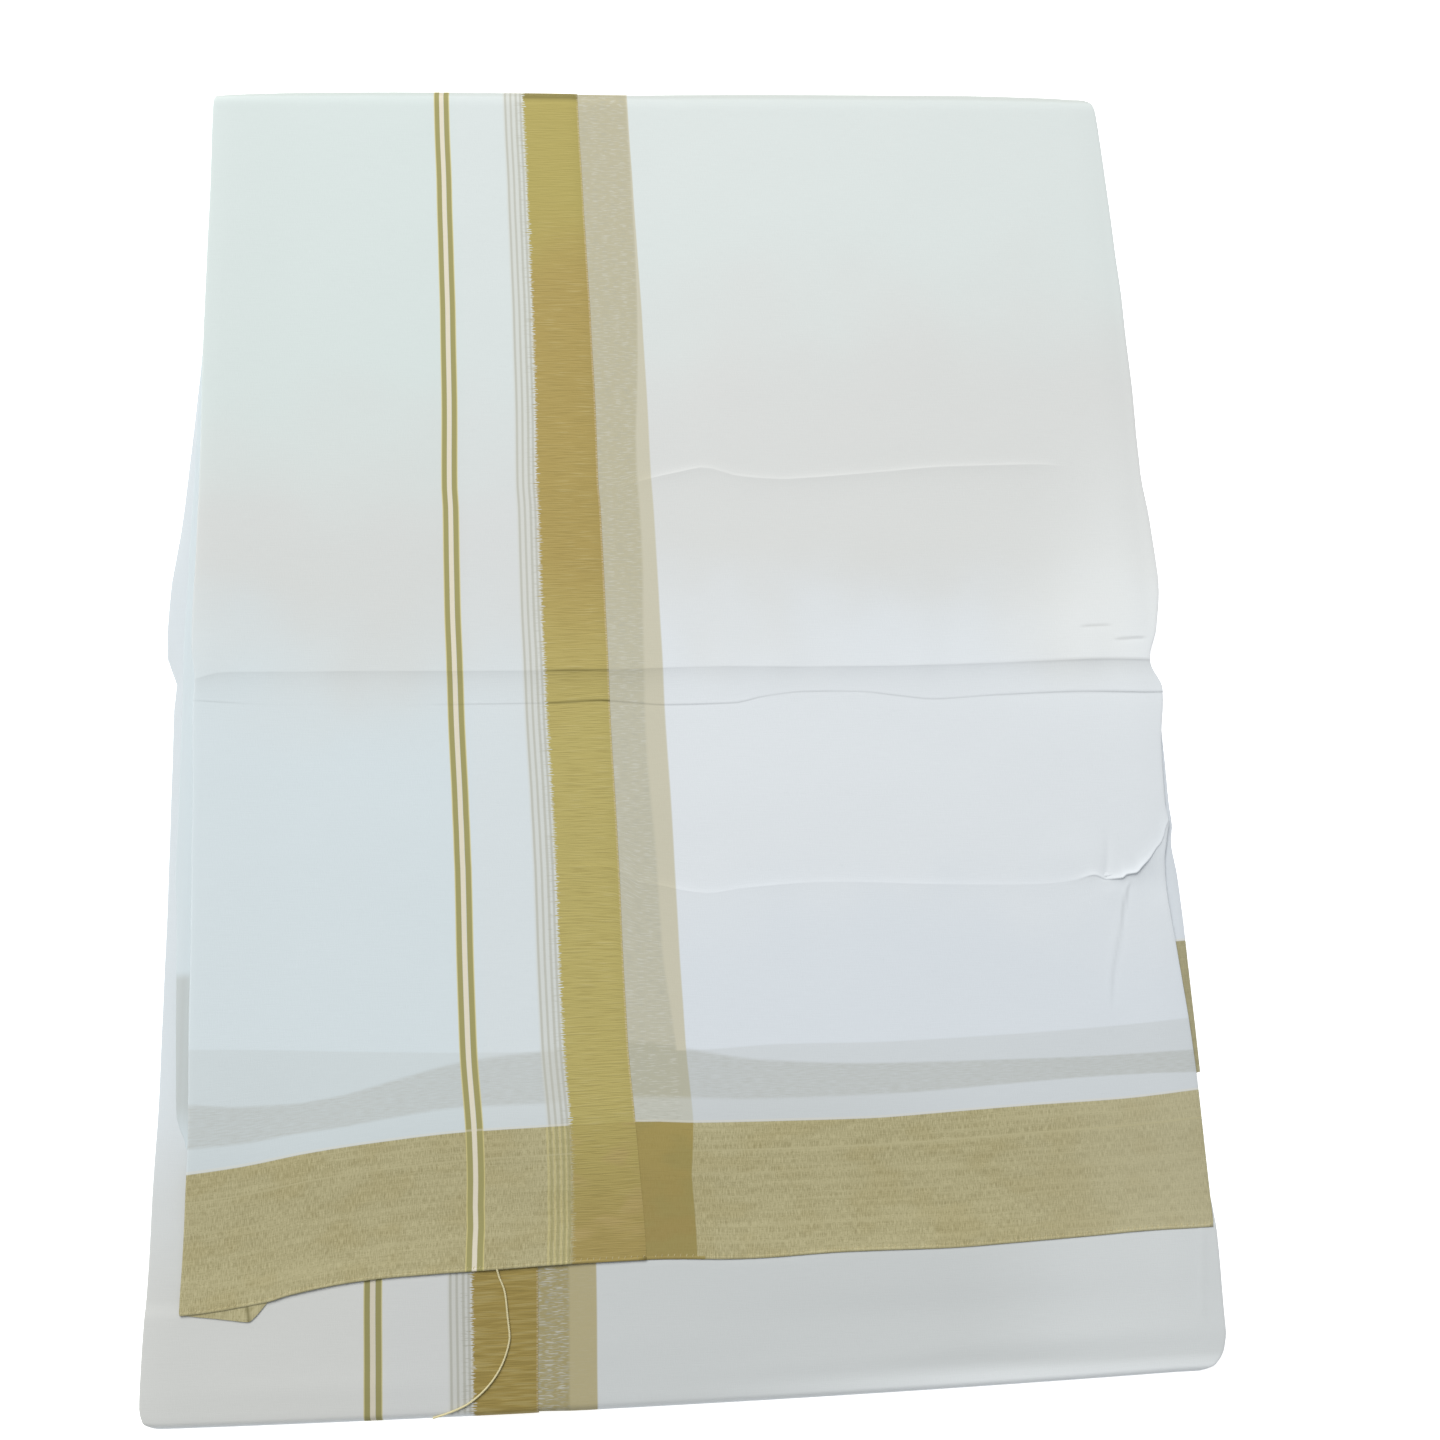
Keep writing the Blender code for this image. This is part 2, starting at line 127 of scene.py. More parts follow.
# The loose thread.
# A pale yellow weft yarn that has come out of the front hem. It drops off the hem, lies over the
# lower flap in one slack bend and ends cut on the bottom fold.
Route = namedtuple("Route", "x y z")
THREAD_ROUTE = (
    Route(-81.3, -246.9, 8.95),
    Route(-81.0, -247.95, 8.85),
    Route(-80.7, -248.9, 8.75),
    Route(-80.3, -250.4, 8.65),
    Route(-79.2, -252.8, 8.6),
    Route(-78.1, -255.5, 8.6),
    Route(-77.5, -259.5, 8.6),
    Route(-77.1, -264.0, 8.6),
    Route(-76.5, -269.0, 8.6),
    Route(-76.0, -273.2, 8.6),
    Route(-76.6, -276.9, 8.6),
    Route(-78.5, -282.4, 8.65),
    Route(-81.6, -287.9, 8.7),
    Route(-86.6, -293.4, 8.7),
    Route(-92.5, -297.6, 8.7),
    Route(-96.3, -299.2, 8.7),
    Route(-100.2, -300.5, 8.6),
    Route(-103.6, -301.5, 8.3),
    Route(-106.9, -302.4, 7.6),
)
THREAD_DROP = 0.85
THREAD_WIDTH = 0.8
THREAD_PALE = (0.77, 0.7, 0.43, 1)
THREAD_DEEP = (0.6, 0.53, 0.29, 1)


def new_node(tree, kind, inputs, **settings):
    """A new shader node with its settings, and its inputs set or linked."""
    node = tree.nodes.new("ShaderNode" + kind)
    for name, value in settings.items():
        setattr(node, name, value)
    set_inputs(node, inputs)
    return node


def blend(tree, share, low, high):
    """A colour that goes from low to high with share, each a colour or another node's output."""
    return new_node(tree, "Mix", {0: share, 6: low, 7: high}, data_type="RGBA").outputs[2]


thread_curve = bpy.data.curves.new("loose_thread_yarn", "CURVE")
thread_curve.dimensions = "3D"
thread_curve.bevel_depth = THREAD_WIDTH * MM / 2
thread_curve.bevel_resolution = 4
thread_curve.use_fill_caps = True
thread_curve.resolution_u = 6
thread_line = thread_curve.splines.new("NURBS")
thread_line.points.add(len(THREAD_ROUTE) - 1)
for point, stop in zip(thread_line.points, THREAD_ROUTE):
    point.co = (stop.x * MM, stop.y * MM, (stop.z - THREAD_DROP) * MM, 1)
thread_line.order_u = 3
thread_line.use_endpoint_u = True
thread = new_object("loose_thread_yarn", thread_curve)

yarn, yarn_tree, yarn_shader = new_material("twisted_yarn")
yarn_twist = new_node(
    yarn_tree,
    "TexWave",
    {
        "Vector": new_node(yarn_tree, "TexCoord", {}).outputs["Object"],
        "Scale": 900,
        "Distortion": 2,
    },
    bands_direction="DIAGONAL",
).outputs["Fac"]
yarn_bump = new_node(
    yarn_tree, "Bump", {"Strength": 0.6, "Distance": 0.0002, "Height": yarn_twist}
)
set_inputs(yarn_shader, {
    "Base Color": blend(yarn_tree, yarn_twist, THREAD_DEEP, THREAD_PALE),
    "Roughness": 0.65,
    "Normal": yarn_bump.outputs["Normal"],
})
thread_curve.materials.append(yarn)
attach(thread, "root")
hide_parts("loose_thread")
tuple(thread_line.points[0].co[:3])

# The hidden lengths.
# Three lengths of the doubled cotton that the pack hides, seen only as folded edges all round it
# and as the underside. Each is made as two flat rounded layers, a little out of line, with the
# pack's old cross folds pressed into the lowest.
HALF_LENGTH = 301.3
SIDE = 222
SIDE_ROUND = 14
SIDE_DROP = 1.2
RIGHT_DROP = 0.5
Edge = namedtuple(
    "Edge", "y front_left front_right second_left second_right lower_left lower_right"
)
EDGES = (
    Edge(-301.3, -208.6, 222.7, -209, 223.6, -216, 210),
    Edge(-298.5, -208.6, 222.7, -209, 223.6, -221.6, 216.9),
    Edge(-293, -208.6, 222.7, -209, 223.6, -223.4, 221.4),
    Edge(-285, -208.6, 222.7, -209, 223.6, -223.6, 223.3),
    Edge(-247, -208.6, 222.7, -209, 223.6, -222.9, 223.8),
    Edge(-192, -207.3, 221.6, -209, 223.6, -222.2, 218.4),
    Edge(-180, -207.5, 221.2, -209, 223.6, -222, 218.2),
    Edge(-168, -208, 220.7, -213.7, 223.5, -222, 218.3),
    Edge(-150, -208.7, 219.9, -214.9, 223.4, -222.1, 218.6),
    Edge(-122, -209.8, 218.4, -216.2, 223.4, -222.2, 219.2),
    Edge(-95, -210.9, 216.9, -217.6, 222.9, -222.4, 220),
    Edge(-80, -211.4, 217.4, -218.8, 221.4, -222.7, 220.2),
    Edge(-71, -211.6, 221, -218.9, 223, -222.8, 220.4),
    Edge(-62, -211.8, 220.2, -219, 222.6, -223, 220.6),
    Edge(-35, -212.6, 221.5, -219.2, 222.6, -223.8, 221),
    Edge(-8, -213.9, 225, -219.6, 223.2, -224.2, 222),
    Edge(5, -213.6, 220, -220, 219.6, -223.5, 219.6),
    Edge(20, -215.6, 224.7, -220.3, 223.3, -229, 223.6),
    Edge(45, -216.2, 228.4, -219.9, 227.2, -228.6, 227.6),
    Edge(72, -216.2, 227.7, -219.7, 224.8, -225.6, 224.6),
    Edge(100, -216.2, 225.6, -219.5, 223.9, -223.5, 223.2),
    Edge(150, -217.6, 226, -219.4, 224.2, -220.4, 223),
    Edge(190, -218, 225.6, -217.2, 223.2, -217.5, 222.4),
    Edge(235, -217.8, 224.4, -216.4, 222, -216.7, 221),
    Edge(291, -218.6, 222.8, -216, 219.8, -216.5, 219),
    Edge(300, -218.6, 221.6, -215.8, 217.4, -215.8, 215),
    Edge(303.4, -218.4, 219, -215.5, 214, -215.5, 211),
    Edge(305.6, -218, 213, -215, 210, -215, 209),
)
FRONT_HEM = -247
SELVAGE_AT_HEM = -19.8
Layer = namedtuple("Layer", "low high inset top_end bottom_end")
HIDDEN_LAYERS = (
    Layer(0, 0.85, 2.4, 298.2, -291.6),
    Layer(0.9, 1.7, 1.7, 298.9, -292.3),
    Layer(1.8, 2.5, 1, 299.3, -293.2),
    Layer(2.6, 3.4, 1.5, 298, -292.8),
    Layer(3.5, 4.3, 2.1, 292, -293.1),
    Layer(4.4, 5.2, 3, 291.2, -292.4),
)
LAYER_CORNER = 9
LAYER_ROUND = 0.42
LAYER_WOBBLE = 0.5
LAYER_DROOP = 0.6
CLOTH_WALL = 0.42
RIB_PITCH = 0.62
PLAIN_FROM = 400
NO_HEM = 1300
NO_WAVE = -5
NO_TUCK = 99
WHITE_COOL = (0.655, 0.7, 0.745, 1)
WHITE_BRIGHT = (0.69, 0.727, 0.76, 1)
WHITE_TEAL = (0.62, 0.69, 0.722, 1)
WHITE_WARM = (0.648, 0.662, 0.656, 1)
WHITE_DULL = (0.62, 0.64, 0.634, 1)
WHITE_PALE = (0.652, 0.703, 0.697, 1)
WHITE_GREEN = (0.62, 0.688, 0.68, 1)
# HIGHLIGHT_PALE is a painted highlight, laid where a negative crease marks the lower length's folds
# and sides and the front's right side.
HIGHLIGHT_PALE = (0.92, 0.96, 0.98, 1)
FAINT_LINE = (0.42, 0.42, 0.36, 1)
FAINT_GROUND = (0.59, 0.595, 0.545, 1)
GOLD = (0.405, 0.345, 0.108, 1)
GOLD_LOW = (0.456, 0.391, 0.136, 1)
GOLD_WARM = (0.39, 0.298, 0.096, 1)
GOLD_BROWN = (0.385, 0.29, 0.084, 1)
GOLD_PALE = (0.53, 0.465, 0.225, 1)
GOLD_DARK = (0.25, 0.19, 0.055, 1)
PIN_GOLD = (0.33, 0.305, 0.125, 1)
PIN_EDGE = (0.62, 0.55, 0.24, 1)
CREAM = (0.7, 0.65, 0.53, 1)
PINK_EDGE = (0.62, 0.53, 0.39, 1)
END_GOLD = (0.4, 0.366, 0.2, 1)
END_PALE = (0.49, 0.448, 0.262, 1)
END_DARK = (0.3, 0.265, 0.135, 1)
END_RIGHT_PALE = (0.5, 0.47, 0.33, 1)
CROSS_HIGH = (0.43, 0.36, 0.121, 1)
CROSS_LOW = (0.364, 0.284, 0.098, 1)
CROSS_TAN = (0.45, 0.342, 0.146, 1)
DEEP_HIGH = (0.344, 0.266, 0.077, 1)
DEEP_LOW = (0.295, 0.222, 0.067, 1)
DEEP_GREEN = (0.295, 0.25, 0.081, 1)
THROUGH_RIBBED = (0.47, 0.442, 0.314, 1)
THROUGH_CREAM = (0.552, 0.529, 0.418, 1)
THROUGH_GREY = (0.455, 0.475, 0.455, 1)
THROUGH_DEEP = (0.43, 0.422, 0.325, 1)
THROUGH_PALE = (0.52, 0.535, 0.49, 1)
# CREASE_SHADE is the dark of crushed yarns and of the painted shade laid along creases and folds.
CREASE_SHADE = (0.1, 0.085, 0.02, 1)
Stripe = namedtuple("Stripe", "start end soft colour share")
BESIDE_BORDER = Stripe(27, 62.5, 5, (0.665, 0.69, 0.706, 1), 0.35)
FAINT_STRIPES = (
    Stripe(26.5, 36.8, 0.8, FAINT_GROUND, 0.62),
    Stripe(27.9, 28.9, 0.3, FAINT_LINE, 0.64),
    Stripe(30, 31.1, 0.3, FAINT_LINE, 0.64),
    Stripe(32.7, 33.7, 0.3, FAINT_LINE, 0.64),
    Stripe(35.3, 36.3, 0.3, FAINT_LINE, 0.64),
)
PIN_STRIPES = (
    Stripe(63.6, 66.1, 0.2, PIN_GOLD, 1),
    Stripe(68.2, 70.6, 0.2, PIN_GOLD, 1),
)
PIN_EDGES = (
    Stripe(63.3, 63.8, 0.2, PIN_EDGE, 0.7),
    Stripe(70.4, 70.9, 0.2, PIN_EDGE, 0.7),
)
PIN_GAP = Stripe(66.2, 68.2, 0.2, CREAM, 1)
HEM_SLUB = Stripe(44.5, 45.2, 0.2, END_PALE, 0.5)
Tone = namedtuple("Tone", "colour until soft")
# The whites go from tone to tone up the pack as painted light: cool low down, a brighter painted
# highlight across the middle of the face, then warmer and paler higher up, with the flap's tones
# duller and greener as painted shade.
FACE_TONES = (
    Tone(WHITE_COOL, 195, 35),
    Tone(WHITE_BRIGHT, 326, 38),
    Tone(WHITE_WARM, 475, 55),
    Tone(WHITE_PALE, 0, 0),
)
FLAP_TONES = (
    Tone(WHITE_TEAL, 305, 45),
    Tone(WHITE_DULL, 410, 50),
    Tone(WHITE_GREEN, 0, 0),
)
# The gold goes from tone to tone up the border; its darker GOLD_WARM starting near the creases is
# partly painted crease shade.
GOLD_TONES = (
    Tone(GOLD_LOW, 320, 45),
    Tone(GOLD_WARM, 510, 40),
    Tone(GOLD, 850, 50),
    Tone(GOLD_BROWN, 0, 0),
)
GOLD_BAND = 27
END_BAND = 56.5
TOOTH = 6.5
SHARP_FOLD = math.radians(62)
OldFold = namedtuple("OldFold", "y deep half seed wave fades")
OLD_FOLDS = (
    OldFold(5, 0.32, 1.6, 61, 3, 0),
    OldFold(-90, 0.25, 1.3, 62, 6, 60),
    OldFold(98, 0.2, 1.5, 63, 5, -90),
)


def track(*stops):
    """A smooth curve through (place, value) stops that never swings past them."""
    places = [stop[0] for stop in stops]
    values = [stop[1] for stop in stops]
    rises = [
        (values[i + 1] - values[i]) / (places[i + 1] - places[i]) for i in range(len(stops) - 1)
    ]
    slopes = [rises[0]]
    for before, after in zip(rises, rises[1:]):
        slopes.append(0 if before * after <= 0 else 2 * before * after / (before + after))
    slopes.append(rises[-1])

    def value_at(place):
        if place <= places[0]:
            return values[0]
        if place >= places[-1]:
            return values[-1]
        i = bisect.bisect_right(places, place) - 1
        span = places[i + 1] - places[i]
        t = (place - places[i]) / span
        return (
            values[i] * (1 + 2 * t) * (1 - t) ** 2
            + slopes[i] * span * t * (1 - t) ** 2
            + values[i + 1] * t * t * (3 - 2 * t)
            + slopes[i + 1] * span * t * t * (t - 1)
        )

    return value_at


def ease(share):
    share = min(max(share, 0), 1)
    return share * share * (3 - 2 * share)


def spread(start, end, step):
    """Even places from start to end, no further apart than step."""
    count = max(math.ceil(abs(end - start) / step), 1)
    return [start + (end - start) * i / count for i in range(count + 1)]


def joined(*runs):
    """Runs of places in one list, without the doubled ends."""
    places = list(runs[0])
    for run in runs[1:]:
        places += run[1:]
    return places


def wander(place, seed, size):
    """A slow wave of about the given size along an edge, the same on every run."""
    return size * noise.noise(Vector((place * 0.035, seed * 7.3, 0.5)))


edge_tracks = {
    side: track(*((edge.y, getattr(edge, side)) for edge in EDGES)) for side in Edge._fields[1:]
}
front_selvage = track(
    (FRONT_HEM, SELVAGE_AT_HEM), (-242, -19.9), (-191, -23.2), (-160, -25.4), (-89, -27.9),
    (48, -32.1), (153, -35.5), (HALF_LENGTH, -41.2),
)


def side_drop(x):
    inside = min(max((SIDE - abs(x)) / SIDE_ROUND, 0), 1)
    return (SIDE_DROP if x < 0 else RIGHT_DROP) * (1 - inside) ** 2


class Weave:
    """The nodes of one woven cloth. Its UV map cloth holds millimetres in from the selvage and up
    from the hem, and its UV map under holds millimetres past the edge of the ply below and a share
    of the wave. Its attribute tuck holds millimetres up from the edge of the end tucked in below,
    and crease is up to 1 where crushed yarns and painted shade darken it, up to 2 where a fold's
    rim takes painted shade as well, and -1 where a painted highlight pales it."""

    def __init__(self, name):
        self.made, self.tree, self.shader = new_material(name)
        self.place, self.in_from_edge, self.up_from_hem = self.measures("cloth")
        _, self.past_under, self.wave = self.measures("under")
        self.crease = self.mark("crease")
        self.tuck = self.mark("tuck")
        self.ribs = self.spots(11, RIB_PITCH, 1)
        self.broad_ribs = self.spots(16, 1.5, 1)
        self.ticks = self.spots(4.5, 0.5, 1)
        self.warp_slubs = self.spots(0.32, 3.2)
        self.weft_slubs = self.spots(9, 0.34)
        self.end_patches = self.spots(26, 15)
        self.rib_lights = self.times(
            self.rising(self.ribs, 0.62, 0.06), self.rising(self.spots(14, 22, 1), 0.5, 0.25)
        )
        self.rib_darks = self.rising(self.ribs, 0.4, -0.08)
        self.tick_lights = self.rising(self.ticks, 0.6, 0.06)
        self.tick_darks = self.rising(self.ticks, 0.4, -0.06)
        slubs = self.figure("ADD", self.weft_slubs, self.warp_slubs)
        self.yarn_tone = self.rising(slubs, 1, 0.5)
        self.shift = self.scaled(self.spots(70, 80), 100, self.up_from_hem)
        self.below_tuck = self.rising(self.tuck, 0, -0.5)
        self.on_wave = self.within(self.wave, 0, 1, 0.06)
        teeth = self.scaled(self.ticks, TOOTH, self.in_from_edge)
        self.on_border = self.times(
            self.rising(teeth, GOLD_BAND + TOOTH / 2, -0.35),
            self.rising(self.in_from_edge, -0.5, 0.1),
        )
        self.on_end = self.rising(self.up_from_hem, END_BAND, -0.25)

    def measures(self, name):
        """One of the cloth's UV maps and the two measures that it holds."""
        source = new_node(self.tree, "UVMap", {}, uv_map=name).outputs[0]
        parts = new_node(self.tree, "SeparateXYZ", {0: source}).outputs
        return source, parts[0], parts[1]

    def mark(self, name):
        return new_node(self.tree, "Attribute", {}, attribute_name=name).outputs["Fac"]

    def figure(self, operation, *values, clamp=False):
        inputs = dict(enumerate(values))
        return new_node(
            self.tree, "Math", inputs, operation=operation, use_clamp=clamp
        ).outputs[0]

    def scaled(self, value, by, plus):
        return self.figure("MULTIPLY_ADD", value, by, plus)

    def times(self, *factors):
        product = factors[0]
        for factor in factors[1:]:
            product = self.figure("MULTIPLY", product, factor)
        return product

    def mixed(self, share, low, high):
        return blend(self.tree, share, low, high)

    def rising(self, value, at, soft):
        """0 below at and 1 above it, over a soft edge, or the other way where soft is negative."""
        edge = {
            "Value": value,
            "From Min": at - abs(soft),
            "From Max": at + abs(soft),
            "To Min": 1 if soft < 0 else 0,
            "To Max": 0 if soft < 0 else 1,
        }
        found = new_node(self.tree, "MapRange", edge, interpolation_type="SMOOTHSTEP")
        return found.outputs["Result"]

    def within(self, value, start, end, soft):
        """1 where value is from start to end, and 0 outside."""
        return self.times(self.rising(value, start, soft), self.rising(value, end, -soft))

    def spots(self, across, along, detail=2):
        """Noise with spots of the given sizes across and along the cloth, in millimetres."""
        pitch = (1 / across, 1 / along, 1)
        stretch = new_node(self.tree, "VectorMath", {0: self.place, 1: pitch}, operation="MULTIPLY")
        made = {"Vector": stretch.outputs[0], "Scale": 1, "Detail": detail}
        return new_node(self.tree, "TexNoise", made).outputs["Fac"]

    def striped(self, value, stripe, colour):
        on_stripe = self.within(value, stripe.start, stripe.end, stripe.soft)
        return self.mixed(self.times(on_stripe, stripe.share), colour, stripe.colour)

    def toned(self, tones):
        """A colour that goes from tone to tone up the cloth."""
        colour = tones[0].colour
        for tone, after in zip(tones, tones[1:]):
            past = self.rising(self.shift, tone.until, tone.soft)
            colour = self.mixed(past, colour, after.colour)
        return colour

    def layered(self, colour, *layers):
        """The colour under layers, each (measure, at, soft, share, its own colour) and laid where
        its measure rises past at."""
        for measure, at, soft, share, over in layers:
            colour = self.mixed(self.times(self.rising(measure, at, soft), share), colour, over)
        return colour

    def ground(self, tones):
        """The white of the face and of the flap, in tones that carry painted light, greyed by the
        end that is tucked in below.
        """
        flap_side = self.rising(self.in_from_edge, PLAIN_FROM / 2, -1)
        colour = self.mixed(flap_side, self.toned(tones[0]), self.toned(tones[1]))
        colour = self.striped(self.in_from_edge, BESIDE_BORDER, colour)
        wave_tone = self.scaled(flap_side, -0.09, self.scaled(self.ticks, 0.8, 0.24))
        tuck_tone = self.scaled(flap_side, -0.07, 0.29)
        below_wave = self.times(self.rising(self.wave, 0, -0.06), self.below_tuck)
        beside_strip = self.within(self.in_from_edge, PLAIN_FROM - 20, PLAIN_FROM + 90, 50)
        for grey in (
            self.times(self.on_wave, wave_tone),
            self.times(self.below_tuck, tuck_tone),
            self.times(below_wave, beside_strip, 0.24),
        ):
            colour = self.mixed(grey, colour, THROUGH_GREY)
        return colour

    def border_below(self, colour, on_strip, ribbed, cream, depth):
        """The colour, and over it the strip in which the border of the ply below shows."""
        under = self.layered(ribbed.colour, (self.shift, 300, -60, 0.35, THROUGH_PALE))
        under = self.mixed(self.times(self.below_tuck, 0.7), under, THROUGH_PALE)
        under = self.mixed(self.times(self.on_wave, 0.9), under, THROUGH_DEEP)
        in_cream = self.within(self.past_under, cream.start, cream.end + 2, ribbed.soft)
        in_cream = self.times(in_cream, self.rising(self.tuck, 0, 0.5))
        colour = self.mixed(on_strip, colour, self.mixed(in_cream, under, cream.colour))
        on_ribs = self.within(self.past_under, ribbed.start, ribbed.end, ribbed.soft)
        on_ribs = self.scaled(self.within(self.past_under, 0, cream.end, 0.5), 0.12, on_ribs)
        lights = self.times(on_ribs, self.tick_lights, 0.4 + depth)
        darks = self.times(on_ribs, self.tick_darks, 0.37 + depth)
        return self.mixed(darks, self.mixed(lights, colour, FAINT_GROUND), FAINT_LINE)

    def gold_border(self, depth):
        low_down = self.rising(self.up_from_hem, 470, -40)
        gold = self.toned(GOLD_TONES)
        gold = self.mixed(self.times(self.rib_lights, low_down, 0.42), gold, GOLD_PALE)
        gold = self.mixed(self.times(self.rib_darks, low_down, 0.22 + depth), gold, GOLD_DARK)
        return self.layered(
            gold,
            (self.broad_ribs, 0.45, -0.1, 0.03 + depth, GOLD_DARK),
            (self.broad_ribs, 0.56, 0.1, 0.03 + depth, GOLD_PALE),
        )

    def end_band(self):
        """The gold weft of the end band, with its slubs, bands, knots and lengthwise lines."""
        band = self.mixed(self.rising(self.warp_slubs, 0.5, 0.18), END_DARK, END_PALE)
        band = self.layered(
            self.mixed(0.12, band, END_GOLD),
            (self.weft_slubs, 0.6, 0.1, 0.55, END_PALE),
            (self.spots(90, 2.4), 0.54, 0.08, 0.4, END_PALE),
            (self.end_patches, 0.45, -0.1, 0.14, CROSS_LOW),
            (self.end_patches, 0.55, 0.1, 0.22, END_PALE),
            (self.spots(0.9, 0.5, 0), 0.3, -0.05, 0.65, END_DARK),
            # Paler towards the end band's right end.
            (self.in_from_edge, PLAIN_FROM + 165, 50, 0.35, END_RIGHT_PALE),
        )
        for faint in FAINT_STRIPES[1:]:
            dark = Stripe(faint.start, faint.end, 0.3, PIN_GOLD, 0.55)
            pale = Stripe(faint.end + 0.3, faint.end + 1.2, 0.3, PIN_EDGE, 0.4)
            for stripe in (dark, pale):
                band = self.striped(self.in_from_edge, stripe, band)
        return self.striped(self.up_from_hem, HEM_SLUB, band)

    def crossing(self, low, high, patch):
        """Gold over gold, from its low colour to its high one, with patches of a third."""
        gold = self.mixed(self.rising(self.up_from_hem, 28, 26), low, high)
        return self.layered(gold, (self.end_patches, *patch))


def dhoti_cloth(name, through, tones, painted_dim=1, depth=0):
    """The finish of a woven cloth. through lists the stripes in which the ply below shows and
    tones the whites of the face and of the flap, which carry painted light. painted_dim is painted
    shade: how much darker the cloth is painted where it lies low in the pack. depth is how much
    stronger its ribs are."""
    weave = Weave(name)
    edge, up, mixed, times = weave.in_from_edge, weave.up_from_hem, weave.mixed, weave.times
    colour = weave.ground(tones)
    if through:
        ribbed, cream = through
        on_strip = weave.within(weave.past_under, ribbed.start, cream.end, cream.soft)
        colour = weave.border_below(colour, on_strip, ribbed, cream, depth)
    for stripe in FAINT_STRIPES:
        colour = weave.striped(edge, stripe, colour)
    near_gold = weave.within(edge, 24.5, 31.5, 1)
    colour = mixed(times(near_gold, weave.tick_darks, 0.35 + depth), colour, FAINT_LINE)
    colour = mixed(weave.on_border, colour, weave.gold_border(depth))

    cross = weave.crossing(CROSS_LOW, CROSS_HIGH, (0.54, 0.06, 0.5, CROSS_TAN))
    cross = mixed(times(weave.rib_darks, 0.25), cross, GOLD_DARK)
    cross = mixed(times(weave.rib_lights, 0.3), cross, GOLD_PALE)
    end_yarn = mixed(weave.on_border, weave.end_band(), cross)
    if through:
        deep = weave.crossing(DEEP_LOW, DEEP_HIGH, (0.46, -0.08, 0.6, DEEP_GREEN))
        deep = mixed(times(weave.rib_darks, 0.22), deep, GOLD_DARK)
        both = weave.within(weave.past_under, ribbed.start, cream.end, 0.3)
        end_yarn = mixed(times(both, 0.9), end_yarn, deep)
    colour = mixed(weave.on_end, colour, end_yarn)

    for stripe in PIN_STRIPES + PIN_EDGES:
        colour = weave.striped(edge, stripe, colour)
    hem_line = weave.within(up, END_BAND + 0.1, END_BAND + 0.9, 0.2)
    off_border = weave.figure("SUBTRACT", 1, weave.on_border)
    colour = mixed(times(hem_line, off_border, 0.35), colour, CREAM)
    colour = weave.striped(edge, PIN_GAP, colour)
    selvage = times(weave.within(edge, -0.4, 0.7, 0.25), weave.rising(up, END_BAND, 1))
    colour = mixed(times(selvage, weave.rising(weave.ticks, 0.5, 0.1), 0.6), colour, PINK_EDGE)

    on_gold = weave.figure("MAXIMUM", weave.on_border, weave.on_end)
    # The crease attribute darkens the cloth towards CREASE_SHADE: crushed yarns and painted crease
    # shade along the creases, and painted shade on the top fold's rim, on the second length's end
    # band and at the turned corner's fold.
    crushed_and_shaded = weave.figure("MINIMUM", weave.crease, 1, clamp=True)
    rim = weave.figure("SUBTRACT", weave.crease, 1, clamp=True)
    white_painted_shade = weave.scaled(rim, 0.2, times(crushed_and_shaded, 0.04))
    shade = weave.figure("MAXIMUM", white_painted_shade, times(crushed_and_shaded, 0.62, on_gold))
    colour = mixed(shade, colour, CREASE_SHADE)
    patterned = weave.within(edge, PIN_EDGES[0].start, PIN_EDGES[1].end, 0.2)
    patterned = weave.figure("MAXIMUM", patterned, on_gold)
    if through:
        patterned = weave.figure("MAXIMUM", patterned, on_strip)
    # A negative crease lays the painted highlight HIGHLIGHT_PALE, but not over the woven patterns.
    painted_highlight = weave.figure("MULTIPLY", weave.crease, -1, clamp=True)
    painted_highlight = times(painted_highlight, weave.figure("SUBTRACT", 1, patterned))
    colour = mixed(painted_highlight, colour, HIGHLIGHT_PALE)
    brightness = weave.scaled(weave.yarn_tone, 0.035 * painted_dim, 0.982 * painted_dim)
    toned = new_node(weave.tree, "HueSaturation", {"Value": brightness, "Color": colour})

    height = times(weave.figure("SUBTRACT", weave.ribs, 0.5), times(weave.on_border, 3))
    height = weave.scaled(weave.yarn_tone, 0.3, height)
    height = weave.scaled(weave.spots(0.4, 0.4, 1), 0.25, height)
    bump = new_node(weave.tree, "Bump", {"Strength": 0.4, "Distance": 0.00018, "Height": height})
    set_inputs(weave.shader, {
        "Base Color": toned.outputs["Color"],
        "Roughness": weave.scaled(on_gold, -0.16, 0.9),
        "Metallic": times(weave.on_border, 0.15),
        "Sheen Weight": 0.05,
        "Sheen Roughness": 0.6,
        "Specular IOR Level": 0.2,
        "Normal": bump.outputs["Normal"],
    })
    return weave.made


# One point of a cloth: its place, then where it is on the weave and over the ply below.
Spot = namedtuple(
    "Spot",
    "x y z inward upward beyond wave crease tuck",
    defaults=(NO_HEM, -PLAIN_FROM, NO_WAVE, 0, NO_TUCK),
)


